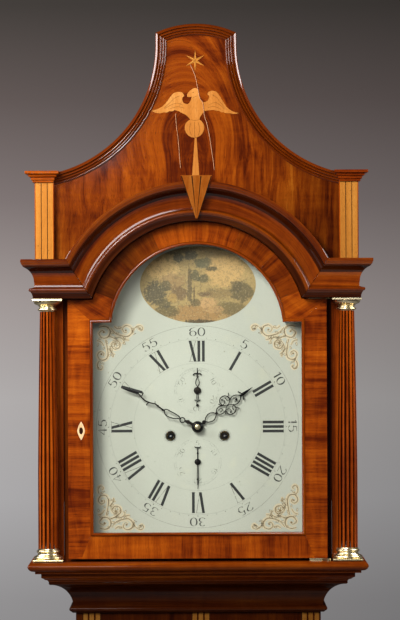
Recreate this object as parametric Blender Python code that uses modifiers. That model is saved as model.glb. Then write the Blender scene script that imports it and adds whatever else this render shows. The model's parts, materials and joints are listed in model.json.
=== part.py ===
"""Tall-case clock with a concave pagoda hood, an arched painted dial and an eight-day movement.

Metres, +Z up, front towards -Y, origin at the middle of the footprint on the floor.
Every sub-part is one closed solid in its own named object.
"""

import math

import bmesh
import bpy
from mathutils import Matrix, Vector

GAP = 0.0003                # between pieces that touch

# Levels above the floor
FOOT_TOP = 0.115
PLINTH_TOP = 0.530
PLINTH_MOULDING_TOP = 0.585
TRUNK_BOTTOM = 0.450        # the trunk boards run down inside the plinth
THROAT_BOTTOM = 1.593
HOOD_BOTTOM = 1.639
HOOD_FLOOR = 1.668          # top of the hood's base moulding
SEAT_TOP = 1.765
CORNICE_BOTTOM = 2.046
CAP_BOTTOM = 2.2124
CAP_TOP = 2.229

# Half widths, and the planes of the front faces
BACK_Y = 0.137
BOARD = 0.018               # thickness of the case's boards
PLINTH_HALF = 0.215
PLINTH_FRONT = -0.092
TRUNK_HALF = 0.1766
TRUNK_FRONT = -0.0545
HOOD_HALF = 0.2235
HOOD_FRONT = -0.101         # the plane that the hood's mouldings are measured out from
TYMPANUM_FRONT = -0.088     # the pediment's board lies back from its corner pilasters
TYMPANUM_THICK = 0.016
HOOD_STILE_INNER = 0.193
HOOD_STILE_FRONT = -0.0708

# Arched dial, door and cornice, all struck from one centre
ARCH_Z = 1.999
OPENING_HALF = 0.150
OPENING_BOTTOM = 1.709
OPENING_SHOULDER = 2.011
OPENING_R = 0.1238
DOOR_HALF = 0.186
DOOR_BOTTOM = 1.672
DOOR_SHOULDER = 2.0445
DOOR_R = 0.1568
DOOR_FRONT = -0.092
DOOR_THICK = 0.020
DOOR_HINGE = (0.1875, -0.104)   # x and y of the strap hinges' pins, which stand in front of the door
CORNICE_R = 0.158
MASK_FRONT = -0.062
DIAL_FRONT = -0.045
DIAL_THICK = 0.002

# Pediment: a concave arc each side, and a shallow arc across the crown
SWEEP_R = 0.1885
SWEEP_X = 0.2465
SWEEP_Z = 2.410
CROWN_TOP = 2.440
CROWN_RISE = 0.013
CROWN_HALF = SWEEP_X - SWEEP_R
CROWN_R = (CROWN_HALF ** 2 + CROWN_RISE ** 2) / (2 * CROWN_RISE)

# Columns
COLUMN_X = 0.215
COLUMN_Y = -0.0935
COLUMN_BASE_TOP = 1.687
CAPITAL_BOTTOM = 2.0275

# Trunk door
TRUNK_OPENING_HALF = 0.115
TRUNK_OPENING = (0.700, 1.450)
TRUNK_DOOR_LIP = 0.006
TRUNK_DOOR_PROUD = 0.008

# Movement: arbor centres as (x, z), and the plates
CENTRE = (0.0, 1.860)
SECONDS = (0.0, 1.9124)
CALENDAR = (0.0, 1.8094)
THIRD = (-0.020, 1.895)
BARREL_X = 0.039
BARREL_Z = 1.847
PALLET = (0.0, 1.936)
PLATE_HALF = 0.066
PLATE_TOP = 1.948
PLATE_THICK = 0.0025
FRONT_PLATE_Y = -0.015
BACK_PLATE_Y = 0.045
MINUTE_ANGLE = math.radians(297.5)
HOUR_ANGLE = math.radians(54.4)
SMALL_HAND_FRONT = -0.0472  # the hands lie one above another, nearest the dial first
HOUR_FRONT = -0.0502
MINUTE_FRONT = -0.0545

# Pendulum and weights
PENDULUM_Y = 0.075
BOB_Z = 0.940
BOB_R = 0.055
LINE_Y = 0.010
LINE_X = 0.064
PULLEY_X = 0.081
PULLEY_Z = 1.640
WEIGHT_R = 0.028
WEIGHT_TOP = 1.600
WEIGHT_BOTTOM = 1.410

COLOURS = {
    "mahogany": ((0.27, 0.085, 0.025), 0.28, 0.0),
    "satinwood": ((0.62, 0.33, 0.10), 0.30, 0.0),
    "oak": ((0.30, 0.19, 0.10), 0.60, 0.0),
    "brass": ((0.78, 0.60, 0.28), 0.22, 1.0),
    "dial_paint": ((0.62, 0.66, 0.56), 0.45, 0.0),
    "blued_steel": ((0.02, 0.02, 0.025), 0.35, 1.0),
    "steel": ((0.55, 0.55, 0.56), 0.35, 1.0),
    "lead": ((0.20, 0.20, 0.21), 0.60, 1.0),
    "gut": ((0.55, 0.38, 0.18), 0.55, 0.0),
    "glass": ((0.95, 0.97, 0.96), 0.03, 0.0),
    "bell_metal": ((0.70, 0.58, 0.36), 0.25, 1.0),
}


def clear_scene():
    """Removes everything that the startup file holds."""
    for thing in list(bpy.data.objects):
        bpy.data.objects.remove(thing, do_unlink=True)


def collection(name):
    """A new collection in the scene."""
    made = bpy.data.collections.new(name)
    bpy.context.scene.collection.children.link(made)
    return made


clear_scene()
CLOCK = collection("tall_case_clock")
CUTTERS = collection("cutters")


def material(node, kind):
    """The Principled material of one sub-part."""
    colour, roughness, metallic = COLOURS[kind]
    made = bpy.data.materials.new(f"{node}_{kind}")
    made.use_nodes = True
    shader = made.node_tree.nodes["Principled BSDF"]
    shader.inputs["Base Color"].default_value = (*colour, 1.0)
    shader.inputs["Roughness"].default_value = roughness
    shader.inputs["Metallic"].default_value = metallic
    return made


def mesh_object(name, bm, kind):
    """Puts a finished bmesh into the clock's collection as a named sub-part."""
    bmesh.ops.recalc_face_normals(bm, faces=bm.faces)
    mesh = bpy.data.meshes.new(name)
    bm.to_mesh(mesh)
    bm.free()
    made = bpy.data.objects.new(name, mesh)
    made.data.materials.append(material(name, kind))
    CLOCK.objects.link(made)
    return made


def board(name, xs, ys, zs, kind, bevel=0.0):
    """A rectangular board between pairs of x, y and z."""
    size = Vector((xs[1] - xs[0], ys[1] - ys[0], zs[1] - zs[0]))
    middle = Vector((sum(xs) / 2, sum(ys) / 2, sum(zs) / 2))
    bm = bmesh.new()
    bmesh.ops.create_cube(bm, size=1.0, matrix=Matrix.Diagonal((*size, 1.0)))
    made = mesh_object(name, bm, kind)
    made.location = middle
    if bevel:
        rounding = made.modifiers.new("edges", "BEVEL")
        rounding.width = bevel
        rounding.segments = 1
        rounding.limit_method = "ANGLE"
    return made


def loft(name, rings, kind, smooth=False):
    """A closed solid through sections that all have the same number of points."""
    bm = bmesh.new()
    loops = [[bm.verts.new(p) for p in ring] for ring in rings]
    count = len(loops[0])
    for near, far in zip(loops, loops[1:]):
        for i in range(count):
            j = (i + 1) % count
            bm.faces.new((near[i], near[j], far[j], far[i]))
    bm.faces.new(loops[0])
    bm.faces.new(reversed(loops[-1]))
    made = mesh_object(name, bm, kind)
    if smooth:
        made.data.shade_smooth()
        made.data.set_sharp_from_angle(angle=math.radians(35))
    return made


def tiers(name, sections, kind):
    """A loft through level rectangles, each (x0, x1, y0, y1, z), such as a cap or a wedge."""
    rings = []
    for x0, x1, y0, y1, z in sections:
        rings.append([(x0, y0, z), (x1, y0, z), (x1, y1, z), (x0, y1, z)])
    return loft(name, rings, kind)


def moulding_u(name, profile, half, front, back, kind):
    """A moulding round a case's sides and front, mitred at both corners and open behind.

    The profile's points are (out, z), with out counted from the case's own faces.
    """
    left_back = [(-half - out, back, z) for out, z in profile]
    left_front = [(-half - out, front - out, z) for out, z in profile]
    right_front = [(half + out, front - out, z) for out, z in profile]
    right_back = [(half + out, back, z) for out, z in profile]
    return loft(name, [left_back, left_front, right_front, right_back], kind)


def flat_curve(name, loops):
    """A filled 2D curve whose first loop is the outline and whose others are holes."""
    curve = bpy.data.curves.new(name, "CURVE")
    curve.dimensions = "2D"
    curve.fill_mode = "BOTH"
    for points in loops:
        spline = curve.splines.new("POLY")
        spline.points.add(len(points) - 1)
        for point, (u, v) in zip(spline.points, points):
            point.co = (u, v, 0.0, 1.0)
        spline.use_cyclic_u = True
    return curve


def plate(name, loops, front, thickness, kind, pivot=(0.0, 0.0), turn=0.0):
    """A flat upright piece cut to an outline in x and z, with its front face at y = front.

    The outline is relative to pivot, and turn is clockwise as seen from the front.
    """
    curve = flat_curve(name, loops)
    curve.extrude = thickness / 2
    drawn = bpy.data.objects.new(name + "_outline", curve)
    CUTTERS.objects.link(drawn)
    drawn.location = (pivot[0], front + thickness / 2, pivot[1])
    drawn.rotation_euler = (math.pi / 2, turn, 0.0)
    return as_mesh(name, drawn, kind)


def as_mesh(name, drawn, kind):
    """Turns a curve into a welded mesh sub-part in the same place, and removes the curve."""
    bpy.context.view_layer.update()
    evaluated = drawn.evaluated_get(bpy.context.evaluated_depsgraph_get())
    mesh = bpy.data.meshes.new_from_object(evaluated)
    bm = bmesh.new()
    bm.from_mesh(mesh)
    bmesh.ops.remove_doubles(bm, verts=bm.verts, dist=0.00001)
    bpy.data.meshes.remove(mesh)
    made = mesh_object(name, bm, kind)
    made.matrix_world = drawn.matrix_world.copy()
    bpy.data.objects.remove(drawn, do_unlink=True)
    return made


def turned(name, profile, kind, place, forward=False, steps=24):
    """A turned piece. Profile points are (radius, height), from the top down the outer side.

    Its axis stands up, or points to the front when forward is set.
    """
    mesh = bpy.data.meshes.new(name)
    edges = [(i, i + 1) for i in range(len(profile) - 1)]
    mesh.from_pydata([(r, 0.0, h) for r, h in profile], edges, [])
    made = bpy.data.objects.new(name, mesh)
    made.data.materials.append(material(name, kind))
    CLOCK.objects.link(made)
    made.location = place
    if forward:
        made.rotation_euler = (math.pi / 2, 0.0, 0.0)
    screw = made.modifiers.new("turning", "SCREW")
    screw.steps = steps
    screw.render_steps = steps
    screw.use_merge_vertices = True
    screw.merge_threshold = 0.00001
    screw.use_smooth_shade = False
    return made


def move_origin(piece, place):
    """Puts a piece's origin at a point and leaves its shape where it is."""
    shift = Matrix.Translation(Vector(place))
    piece.data.transform(shift.inverted() @ piece.matrix_world)
    piece.matrix_world = shift


def combine(target, other, operation="UNION"):
    """Joins another solid to target, or cuts it out of target."""
    for owner in list(other.users_collection):
        owner.objects.unlink(other)
    CUTTERS.objects.link(other)
    other.hide_render = True
    other.display_type = "WIRE"
    cut = target.modifiers.new(other.name, "BOOLEAN")
    cut.operation = operation
    cut.solver = "EXACT"
    cut.object = other


def arc(centre, radius, start, end, count):
    """Points along an arc, in degrees counted anticlockwise from +x."""
    points = []
    for i in range(count + 1):
        a = math.radians(start + (end - start) * i / count)
        points.append((centre[0] + radius * math.cos(a), centre[1] + radius * math.sin(a)))
    return points


def circle(centre, radius, count=16):
    """A closed round loop."""
    return arc(centre, radius, 0, 360 * (count - 1) / count, count - 1)


def arched(half, bottom, shoulder, radius, count=24):
    """A rectangle with square shoulders and a round arch above them, struck from ARCH_Z."""
    rise = math.degrees(math.asin((shoulder - ARCH_Z) / radius))
    top = arc((0.0, ARCH_Z), radius, rise, 180 - rise, count)
    return [(-half, bottom), (half, bottom), (half, shoulder), *top, (-half, shoulder)]


def sides(make):
    """Makes a piece for the left side and its mirror image for the right side."""
    make("left", -1)
    make("right", 1)


def pair(a, b, side):
    """The two x values a and b on one side of the clock, lowest first."""
    return (a * side, b * side) if side > 0 else (b * side, a * side)


# ---------------------------------------------------------------- case

FOOT_FRONT = -0.099
FOOT_HALF = 0.222
FOOT_LENGTH = 0.120
FOOT_THICK = 0.022


def bracket(length):
    """Outline of one wing of a bracket foot, from its corner at u = 0 along u."""
    curve = arc((length, 0.030), 0.045, 180, 90, 6)
    return [(0.0, 0.0), (0.050, 0.0), *curve, (length, FOOT_TOP), (0.0, FOOT_TOP)]


def foot(name, side, front):
    """A bracket foot at one corner: a wing across the front or back, and a wing along the side."""
    outline = [(side * (FOOT_HALF - u), v) for u, v in bracket(FOOT_LENGTH)]
    y0 = FOOT_FRONT if front else BACK_Y - FOOT_THICK
    wing = plate(name, [outline], y0, FOOT_THICK, "mahogany")
    corner = FOOT_FRONT if front else BACK_Y
    way = 1 if front else -1
    rings = []
    for x in (FOOT_HALF, FOOT_HALF - FOOT_THICK):
        rings.append([(side * x, corner + way * u, v) for u, v in bracket(FOOT_LENGTH * 0.9)])
    combine(wing, loft(name + "_side_wing", rings, "mahogany"))


def feet():
    for word, side in (("left", -1), ("right", 1)):
        foot(f"foot_front_{word}", side, True)
        foot(f"foot_rear_{word}", side, False)


def plinth():
    """The box base: a front panel and two sides, with the moulding that carries the trunk."""
    zs = (FOOT_TOP + GAP, PLINTH_TOP)
    front_ys = (PLINTH_FRONT, PLINTH_FRONT + BOARD)
    board("plinth_front", (-PLINTH_HALF, PLINTH_HALF), front_ys, zs, "mahogany")
    side_ys = (PLINTH_FRONT + BOARD + GAP, BACK_Y)

    def side_panel(word, side):
        xs = pair(PLINTH_HALF - BOARD, PLINTH_HALF, side)
        board(f"plinth_side_{word}", xs, side_ys, zs, "mahogany")

    sides(side_panel)
    bottom = PLINTH_TOP + GAP
    profile = [(GAP, bottom), (0.046, bottom), (0.046, bottom + 0.006), (0.041, bottom + 0.009),
               (0.037, bottom + 0.015), (0.029, bottom + 0.024), (0.017, bottom + 0.031),
               (0.012, bottom + 0.038), (0.012, bottom + 0.042), (0.007, bottom + 0.045),
               (0.005, PLINTH_MOULDING_TOP), (GAP, PLINTH_MOULDING_TOP)]
    moulding_u("plinth_moulding", profile, TRUNK_HALF, TRUNK_FRONT, BACK_Y, "mahogany")


def trunk():
    """The waist: two sides, a front frame with the door opening, and the throat moulding."""
    cheek_top = SEAT_TOP - 0.020 - GAP
    front_back = TRUNK_FRONT + 0.020

    def side_board(word, side):
        xs = pair(TRUNK_HALF - BOARD, TRUNK_HALF, side)
        board(f"trunk_side_{word}", xs, (front_back + GAP, BACK_Y), (TRUNK_BOTTOM, cheek_top), "mahogany")

    sides(side_board)
    top = HOOD_BOTTOM - GAP
    outline = [(-TRUNK_HALF, TRUNK_BOTTOM), (TRUNK_HALF, TRUNK_BOTTOM), (TRUNK_HALF, top), (-TRUNK_HALF, top)]
    low, high = TRUNK_OPENING
    half = TRUNK_OPENING_HALF
    hole = [(-half, low), (half, low), (half, high), (-half, high)]
    plate("trunk_front_frame", [outline, hole], TRUNK_FRONT, 0.020, "mahogany")
    cove = [(0.038 - x, z) for x, z in arc((0.0, THROAT_BOTTOM + 0.010), 0.0345, 0, 75, 6)]
    profile = [(GAP, THROAT_BOTTOM), (0.005, THROAT_BOTTOM + 0.001), (0.0078, THROAT_BOTTOM + 0.005),
               (0.0065, THROAT_BOTTOM + 0.009), *cove, (0.038, THROAT_BOTTOM + 0.0435),
               (0.038, top), (GAP, top)]
    moulding_u("throat_moulding", profile, TRUNK_HALF, TRUNK_FRONT, BACK_Y, "mahogany")


def backboard():
    """One board from the plinth to the hood's roof, with ears inside the hood."""
    plinth_in = PLINTH_HALF - BOARD - GAP
    trunk_in = TRUNK_HALF - BOARD - GAP
    hood_in = HOOD_HALF - BOARD - 0.0005
    ear = SEAT_TOP - 0.018
    steps = [(plinth_in, FOOT_TOP + GAP), (plinth_in, TRUNK_BOTTOM - GAP), (trunk_in, TRUNK_BOTTOM - GAP),
             (trunk_in, ear), (hood_in, ear), (hood_in, CAP_BOTTOM - GAP)]
    outline = steps + [(-x, z) for x, z in reversed(steps)]
    plate("backboard", [outline], BACK_Y - BOARD, BOARD, "oak")


def seatboard():
    """The shelf across the trunk's cheeks, with a hole for each run of each line."""
    xs = (-TRUNK_HALF, TRUNK_HALF)
    made = board("seatboard", xs, (-0.022, 0.060), (SEAT_TOP - 0.020, SEAT_TOP - GAP), "oak")
    for side in (-1, 1):
        profile = [(0.0, SEAT_TOP + 0.01), (0.008, SEAT_TOP + 0.01), (0.008, SEAT_TOP - 0.04), (0.0, SEAT_TOP - 0.04)]
        hole = turned(f"line_hole_{side}", profile, "oak", (side * LINE_X, LINE_Y, 0.0), steps=16)
        combine(made, hole, "DIFFERENCE")


def trunk_door():
    """The lipped door of the waist; its origin is on the hinge line at the lip's right edge."""
    low, high = TRUNK_OPENING
    half = TRUNK_OPENING_HALF
    lip = TRUNK_DOOR_LIP
    clear = 0.0015
    hinge_x = half + lip
    front = TRUNK_FRONT - TRUNK_DOOR_PROUD
    rings = []
    layers = ((lip - 0.003, front), (lip, front + 0.003), (lip, TRUNK_FRONT - GAP),
              (-clear, TRUNK_FRONT - GAP), (-clear, TRUNK_FRONT + 0.012))
    for grow, y in layers:
        x0, x1 = -half - grow - hinge_x, half + grow - hinge_x
        z0, z1 = low - grow, high + grow
        rings.append([(x0, y - front, z0), (x1, y - front, z0), (x1, y - front, z1), (x0, y - front, z1)])
    made = loft("trunk_door", rings, "mahogany")
    made.location = (hinge_x, front, 0.0)


# ---------------------------------------------------------------- hood

CORNICE_PROFILE = [(GAP, 0.0), (0.0122, 0.0), (0.0127, 0.0045), (0.0150, 0.0085), (0.0176, 0.0125),
                   (0.0110, 0.0155), (0.0094, 0.0205), (0.0094, 0.0265), (0.0132, 0.0375),
                   (0.0210, 0.0445), (0.0255, 0.0465), (0.0290, 0.0515), (0.0290, 0.0565), (GAP, 0.0565)]


def mitre_x(height):
    """Where the level cornice meets the arched one, for a line of the moulding at that height."""
    z = CORNICE_BOTTOM + height
    return math.sqrt((CORNICE_R + height) ** 2 - (z - ARCH_Z) ** 2)


def cornice_y(out):
    """How far forward a point of the cornice's profile comes; its back lies on the pediment's board."""
    return TYMPANUM_FRONT - GAP if out == GAP else HOOD_FRONT - out


def cornice():
    """The cornice blocks, returned along the sides, and the arch mitred between them."""

    def block(word, side):
        back, corner, mitre = [], [], []
        for out, height in CORNICE_PROFILE:
            z = CORNICE_BOTTOM + height
            back.append((side * (HOOD_HALF + out), BACK_Y, z))
            corner.append((side * (HOOD_HALF + out), cornice_y(out), z))
            mitre.append((side * mitre_x(height), cornice_y(out), z))
        loft(f"cornice_{word}", [back, corner, mitre], "mahogany")

    sides(block)
    rings = []
    count = 32
    for i in range(count + 1):
        ring = []
        for out, height in CORNICE_PROFILE:
            radius = CORNICE_R + height
            end = math.acos((mitre_x(height) - GAP) / radius)
            angle = end + (math.pi - 2 * end) * i / count
            ring.append((radius * math.cos(angle), cornice_y(out), ARCH_Z + radius * math.sin(angle)))
        rings.append(ring)
    made = loft("cornice_arch", rings, "mahogany", smooth=True)
    combine(made, keystone_wedge("keystone_seat", GAP), "DIFFERENCE")


def keystone_wedge(name, grow=0.0):
    """The keystone's inverted wedge, or the slightly larger seat cut for it in the arch."""
    back = -0.1075 + grow
    top = (-0.0225 - grow, 0.0225 + grow, -0.137 - grow, back, 2.2213 + grow)
    tip = (-0.0015 - grow, 0.0015 + grow, -0.122 - grow, back, 2.1600 - grow)
    return tiers(name, [top, tip], "satinwood")


def hood_box():
    """Base moulding, the sides with their corner stiles, the mask round the dial, and the roof."""
    profile = [(-0.0445, HOOD_BOTTOM), (-0.0090, HOOD_BOTTOM), (-0.0035, 1.6425), (-0.0011, 1.6442),
               (0.0017, 1.6465), (0.0017, 1.6508), (0.0103, 1.6514), (0.0103, 1.6545), (0.0160, 1.6552),
               (0.0195, 1.6578), (0.0210, 1.6615), (0.0195, 1.6652), (0.0160, HOOD_FLOOR),
               (-0.0445, HOOD_FLOOR)]
    moulding_u("hood_base_moulding", profile, HOOD_HALF, HOOD_FRONT, BACK_Y, "mahogany")

    def side_board(word, side):
        plan = [(HOOD_STILE_INNER, HOOD_STILE_FRONT), (HOOD_HALF, HOOD_STILE_FRONT), (HOOD_HALF, BACK_Y),
                (HOOD_HALF - BOARD, BACK_Y), (HOOD_HALF - BOARD, -0.052), (HOOD_STILE_INNER, -0.052)]
        rings = [[(side * x, y, z) for x, y in plan] for z in (HOOD_FLOOR + GAP, CAP_BOTTOM - GAP)]
        loft(f"hood_side_{word}", rings, "mahogany")

    sides(side_board)
    half = HOOD_STILE_INNER - GAP
    outline = arched(half, HOOD_FLOOR + GAP, DOOR_SHOULDER, 0.172)
    hole = arched(OPENING_HALF + 0.001, OPENING_BOTTOM - 0.001, OPENING_SHOULDER, OPENING_R + 0.001)
    plate("dial_mask", [outline, hole], MASK_FRONT, 0.010, "mahogany")
    roof_ys = (TYMPANUM_FRONT + TYMPANUM_THICK + GAP, BACK_Y)
    board("hood_roof_board", (-0.1970, 0.1970), roof_ys, (CAP_BOTTOM, CAP_BOTTOM + 0.012), "oak")


def tympanum():
    """The pediment's board: concave sides, a shallow crown, and the arch cut out below."""
    base = CORNICE_BOTTOM + GAP
    rise = math.degrees(math.asin((base - ARCH_Z) / CORNICE_R))
    cap_side = 0.1970
    start = -math.degrees(math.asin((SWEEP_Z - CAP_TOP) / SWEEP_R))
    half = [(HOOD_HALF, base), (HOOD_HALF, CAP_BOTTOM - GAP), (cap_side, CAP_BOTTOM - GAP), (cap_side, CAP_TOP)]
    half += [(-x, z) for x, z in arc((-SWEEP_X, SWEEP_Z), SWEEP_R, start, 0, 14)]
    lean = 90 - math.degrees(math.asin(CROWN_HALF / CROWN_R))
    half += arc((0.0, CROWN_TOP - CROWN_R), CROWN_R - 0.0005, lean, 90, 5)
    outline = half + [(-x, z) for x, z in reversed(half[:-1])]
    outline += arc((0.0, ARCH_Z), CORNICE_R, 180 - rise, rise, 24)
    plate("tympanum", [outline], TYMPANUM_FRONT, TYMPANUM_THICK, "mahogany")


REED_PROFILE = [(0.0, GAP), (0.0, 0.0085), (0.0015, 0.0095), (0.0045, 0.0095), (0.0055, 0.0070),
                (0.0070, 0.0080), (0.0090, 0.0070), (0.0100, 0.0050), (0.0120, 0.0055),
                (0.0140, 0.0040), (0.0165, 0.0025), (0.0165, GAP)]


def pediment_mouldings():
    """One reeded moulding up each concave edge and one across the crown, mitred together."""
    start = -math.degrees(math.asin((SWEEP_Z - CAP_TOP) / SWEEP_R))
    crown_z = CROWN_TOP - CROWN_R

    def mitre_z(across):
        return crown_z + math.sqrt((CROWN_R - across) ** 2 - (CROWN_HALF - across) ** 2)

    def reeded(word, side):
        rings = []
        count = 14
        for i in range(count + 1):
            angle = math.radians(start * (1 - i / count))
            ring = []
            for across, out in REED_PROFILE:
                radius = SWEEP_R + across
                x = SWEEP_X - radius * math.cos(angle)
                ring.append((side * x, TYMPANUM_FRONT - out, SWEEP_Z + radius * math.sin(angle)))
            rings.append(ring)
        rings.append([(side * (CROWN_HALF - across), TYMPANUM_FRONT - out, mitre_z(across) - GAP)
                      for across, out in REED_PROFILE])
        loft(f"pediment_moulding_{word}", rings, "mahogany", smooth=True)

    sides(reeded)
    rings = []
    count = 14
    for i in range(count + 1):
        ring = []
        for across, out in REED_PROFILE:
            radius = CROWN_R - across
            end = math.acos((CROWN_HALF - across) / radius)
            angle = end + (math.pi - 2 * end) * i / count
            ring.append((radius * math.cos(angle), TYMPANUM_FRONT - out, crown_z + radius * math.sin(angle)))
        rings.append(ring)
    loft("crown_moulding", rings, "mahogany", smooth=True)


def pediment_corners():
    """A short inlaid pilaster on each cornice block, under a stepped cap that runs to the back."""
    cornice_top = CORNICE_BOTTOM + 0.0565

    def corner(word, side):
        xs = pair(0.2045, 0.2320, side)
        ys = (-0.1095, TYMPANUM_FRONT - GAP)
        board(f"pediment_pilaster_{word}", xs, ys, (cornice_top + GAP, CAP_BOTTOM - GAP), "satinwood")
        sections = []
        for inner, outer, front, z in ((0.2055, 0.2350, -0.1125, CAP_BOTTOM), (0.2035, 0.2370, -0.1145, 2.2155),
                                       (0.2035, 0.2370, -0.1145, 2.2180), (0.2010, 0.2405, -0.1180, 2.2195),
                                       (0.2010, 0.2405, -0.1180, 2.2225), (0.1976, 0.2440, -0.1215, 2.2240),
                                       (0.1976, 0.2460, -0.1235, 2.2265), (0.1976, 0.2460, -0.1235, CAP_TOP)):
            x0, x1 = pair(max(inner, 0.1976), outer, side)
            sections.append((x0, x1, front, BACK_Y, z))
        tiers(f"pediment_cap_{word}", sections, "mahogany")

    sides(corner)


def column_ring(radius, depth, z, x):
    """A fluted section: twenty flutes cut into a circle."""
    flutes = 20
    ring = []
    for i in range(flutes):
        for step, sink in ((0.0, 0.0), (0.3, 0.0), (0.65, 1.0)):
            a = 2 * math.pi * (i + step) / flutes
            r = radius - depth * sink
            ring.append((x + r * math.cos(a), COLUMN_Y + r * math.sin(a), z))
    return ring


def columns():
    """A tapered fluted shaft each side, between a brass capital and a brass base."""
    bottom_r, top_r = 0.0145, 0.0108

    def column(word, side):
        x = side * COLUMN_X
        low, high = COLUMN_BASE_TOP + GAP, CAPITAL_BOTTOM - GAP
        third = low + (high - low) * 0.35
        rings = [column_ring(bottom_r, 0.0014, low, x), column_ring(bottom_r * 0.975, 0.0014, third, x),
                 column_ring(top_r, 0.0011, high, x)]
        loft(f"column_{word}", rings, "mahogany")
        base_profile = [(0.0, COLUMN_BASE_TOP), (0.0150, COLUMN_BASE_TOP), (0.0150, 1.6850),
                        (0.0138, 1.6835), (0.0145, 1.6810), (0.0168, 1.6800), (0.0168, 1.6785),
                        (0.0185, 1.6775), (0.0193, 1.6745), (0.0180, 1.6718), (0.0170, 1.6710), (0.0, 1.6710)]
        base = turned(f"column_base_{word}", base_profile, "brass", (x, COLUMN_Y, 0.0))
        half = 0.0218
        ys = (COLUMN_Y - half, COLUMN_Y + half)
        combine(base, board(f"base_plinth_{word}", (x - half, x + half), ys, (HOOD_FLOOR + GAP, 1.6715), "brass"))
        top = CORNICE_BOTTOM - GAP
        profile = [(0.0, top - 0.001), (0.0195, top - 0.001), (0.0195, top - 0.0050), (0.0185, top - 0.0075),
                   (0.0150, top - 0.0105), (0.0122, top - 0.0120), (0.0115, top - 0.0130),
                   (0.0125, top - 0.0142), (0.0125, top - 0.0155), (0.0112, top - 0.0165),
                   (0.0112, CAPITAL_BOTTOM), (0.0, CAPITAL_BOTTOM)]
        capital = turned(f"capital_{word}", profile, "brass", (x, COLUMN_Y, 0.0))
        half = 0.0211
        ys = (COLUMN_Y - half, COLUMN_Y + half)
        combine(capital, board(f"abacus_{word}", (x - half, x + half), ys, (top - 0.0035, top), "brass"))

    sides(column)


def hood_door():
    """The glazed door; both pieces have their origin on the line of the hinge pins."""
    outer = arched(DOOR_HALF, DOOR_BOTTOM, DOOR_SHOULDER, DOOR_R)
    inner = arched(OPENING_HALF, OPENING_BOTTOM, OPENING_SHOULDER, OPENING_R)
    pane = arched(OPENING_HALF - GAP, OPENING_BOTTOM + GAP, OPENING_SHOULDER - GAP, OPENING_R - GAP)
    frame = plate("hood_door_frame", [outer, inner], DOOR_FRONT, DOOR_THICK, "mahogany")
    glass = plate("hood_door_glass", [pane], DOOR_FRONT + 0.0115, 0.003, "glass")
    for piece in (frame, glass):
        move_origin(piece, (*DOOR_HINGE, 0.0))


# ---------------------------------------------------------------- dial and hands


def dial():
    """The painted iron dial, with its holes for the arbors and four feet behind."""
    outline = arched(0.1525, 1.7065, OPENING_SHOULDER + 0.001, 0.1262)
    holes = [circle(CENTRE, 0.0056), circle(SECONDS, 0.0025, 10), circle(CALENDAR, 0.0025, 10)]
    holes += [circle((side * BARREL_X, BARREL_Z), 0.0068) for side in (-1, 1)]
    made = plate("dial_plate", [outline, *holes], DIAL_FRONT, DIAL_THICK, "dial_paint")
    for i, (x, z) in enumerate(((-0.055, 1.79), (0.055, 1.79), (-0.055, 1.93), (0.055, 1.93))):
        near, far = -(DIAL_FRONT + DIAL_THICK - 0.001), -(FRONT_PLATE_Y - GAP)
        profile = [(0.0, near), (0.003, near), (0.003, far), (0.0, far)]
        combine(made, turned(f"dial_foot_{i}", profile, "steel", (x, 0.0, z), forward=True, steps=8))


def ribbon(stations):
    """An outline that runs up one side and down the other of a line of (along, middle, half width)."""
    right = [(middle + half, along) for along, middle, half in stations]
    left = [(middle - half, along) for along, middle, half in reversed(stations)]
    return right + left


def slit(low, high, middle, half):
    """A pointed opening along a hand."""
    points = []
    for t in (0.0, 0.25, 0.5, 0.75):
        points.append((middle + half * math.sin(math.pi * t), low + (high - low) * t))
    for t in (1.0, 0.75, 0.5, 0.25):
        points.append((middle - half * math.sin(math.pi * t), low + (high - low) * t))
    return points


def hand(name, stations, holes, centre, front, turn, boss, shaft_back):
    """A flat hand with a round boss and a short shaft behind it, on its arbor's centre."""
    made = plate(name, [ribbon(stations), *holes], front, 0.0009, "blued_steel", pivot=centre, turn=turn)
    radius, thick = boss
    near = -(front - thick)
    profile = [(0.0, near), (radius * 0.7, near), (radius, near - thick * 0.5), (radius, -(front + 0.0008)),
               (0.0, -(front + 0.0008))]
    combine(made, turned(name + "_boss", profile, "blued_steel", (centre[0], 0.0, centre[1]), forward=True, steps=16))
    if shaft_back is not None:
        near, far = -(front + 0.0004), -shaft_back
        profile = [(0.0, near), (0.0015, near), (0.0015, far), (0.0, far)]
        place = (centre[0], 0.0, centre[1])
        combine(made, turned(name + "_shaft", profile, "blued_steel", place, forward=True, steps=8))


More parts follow.
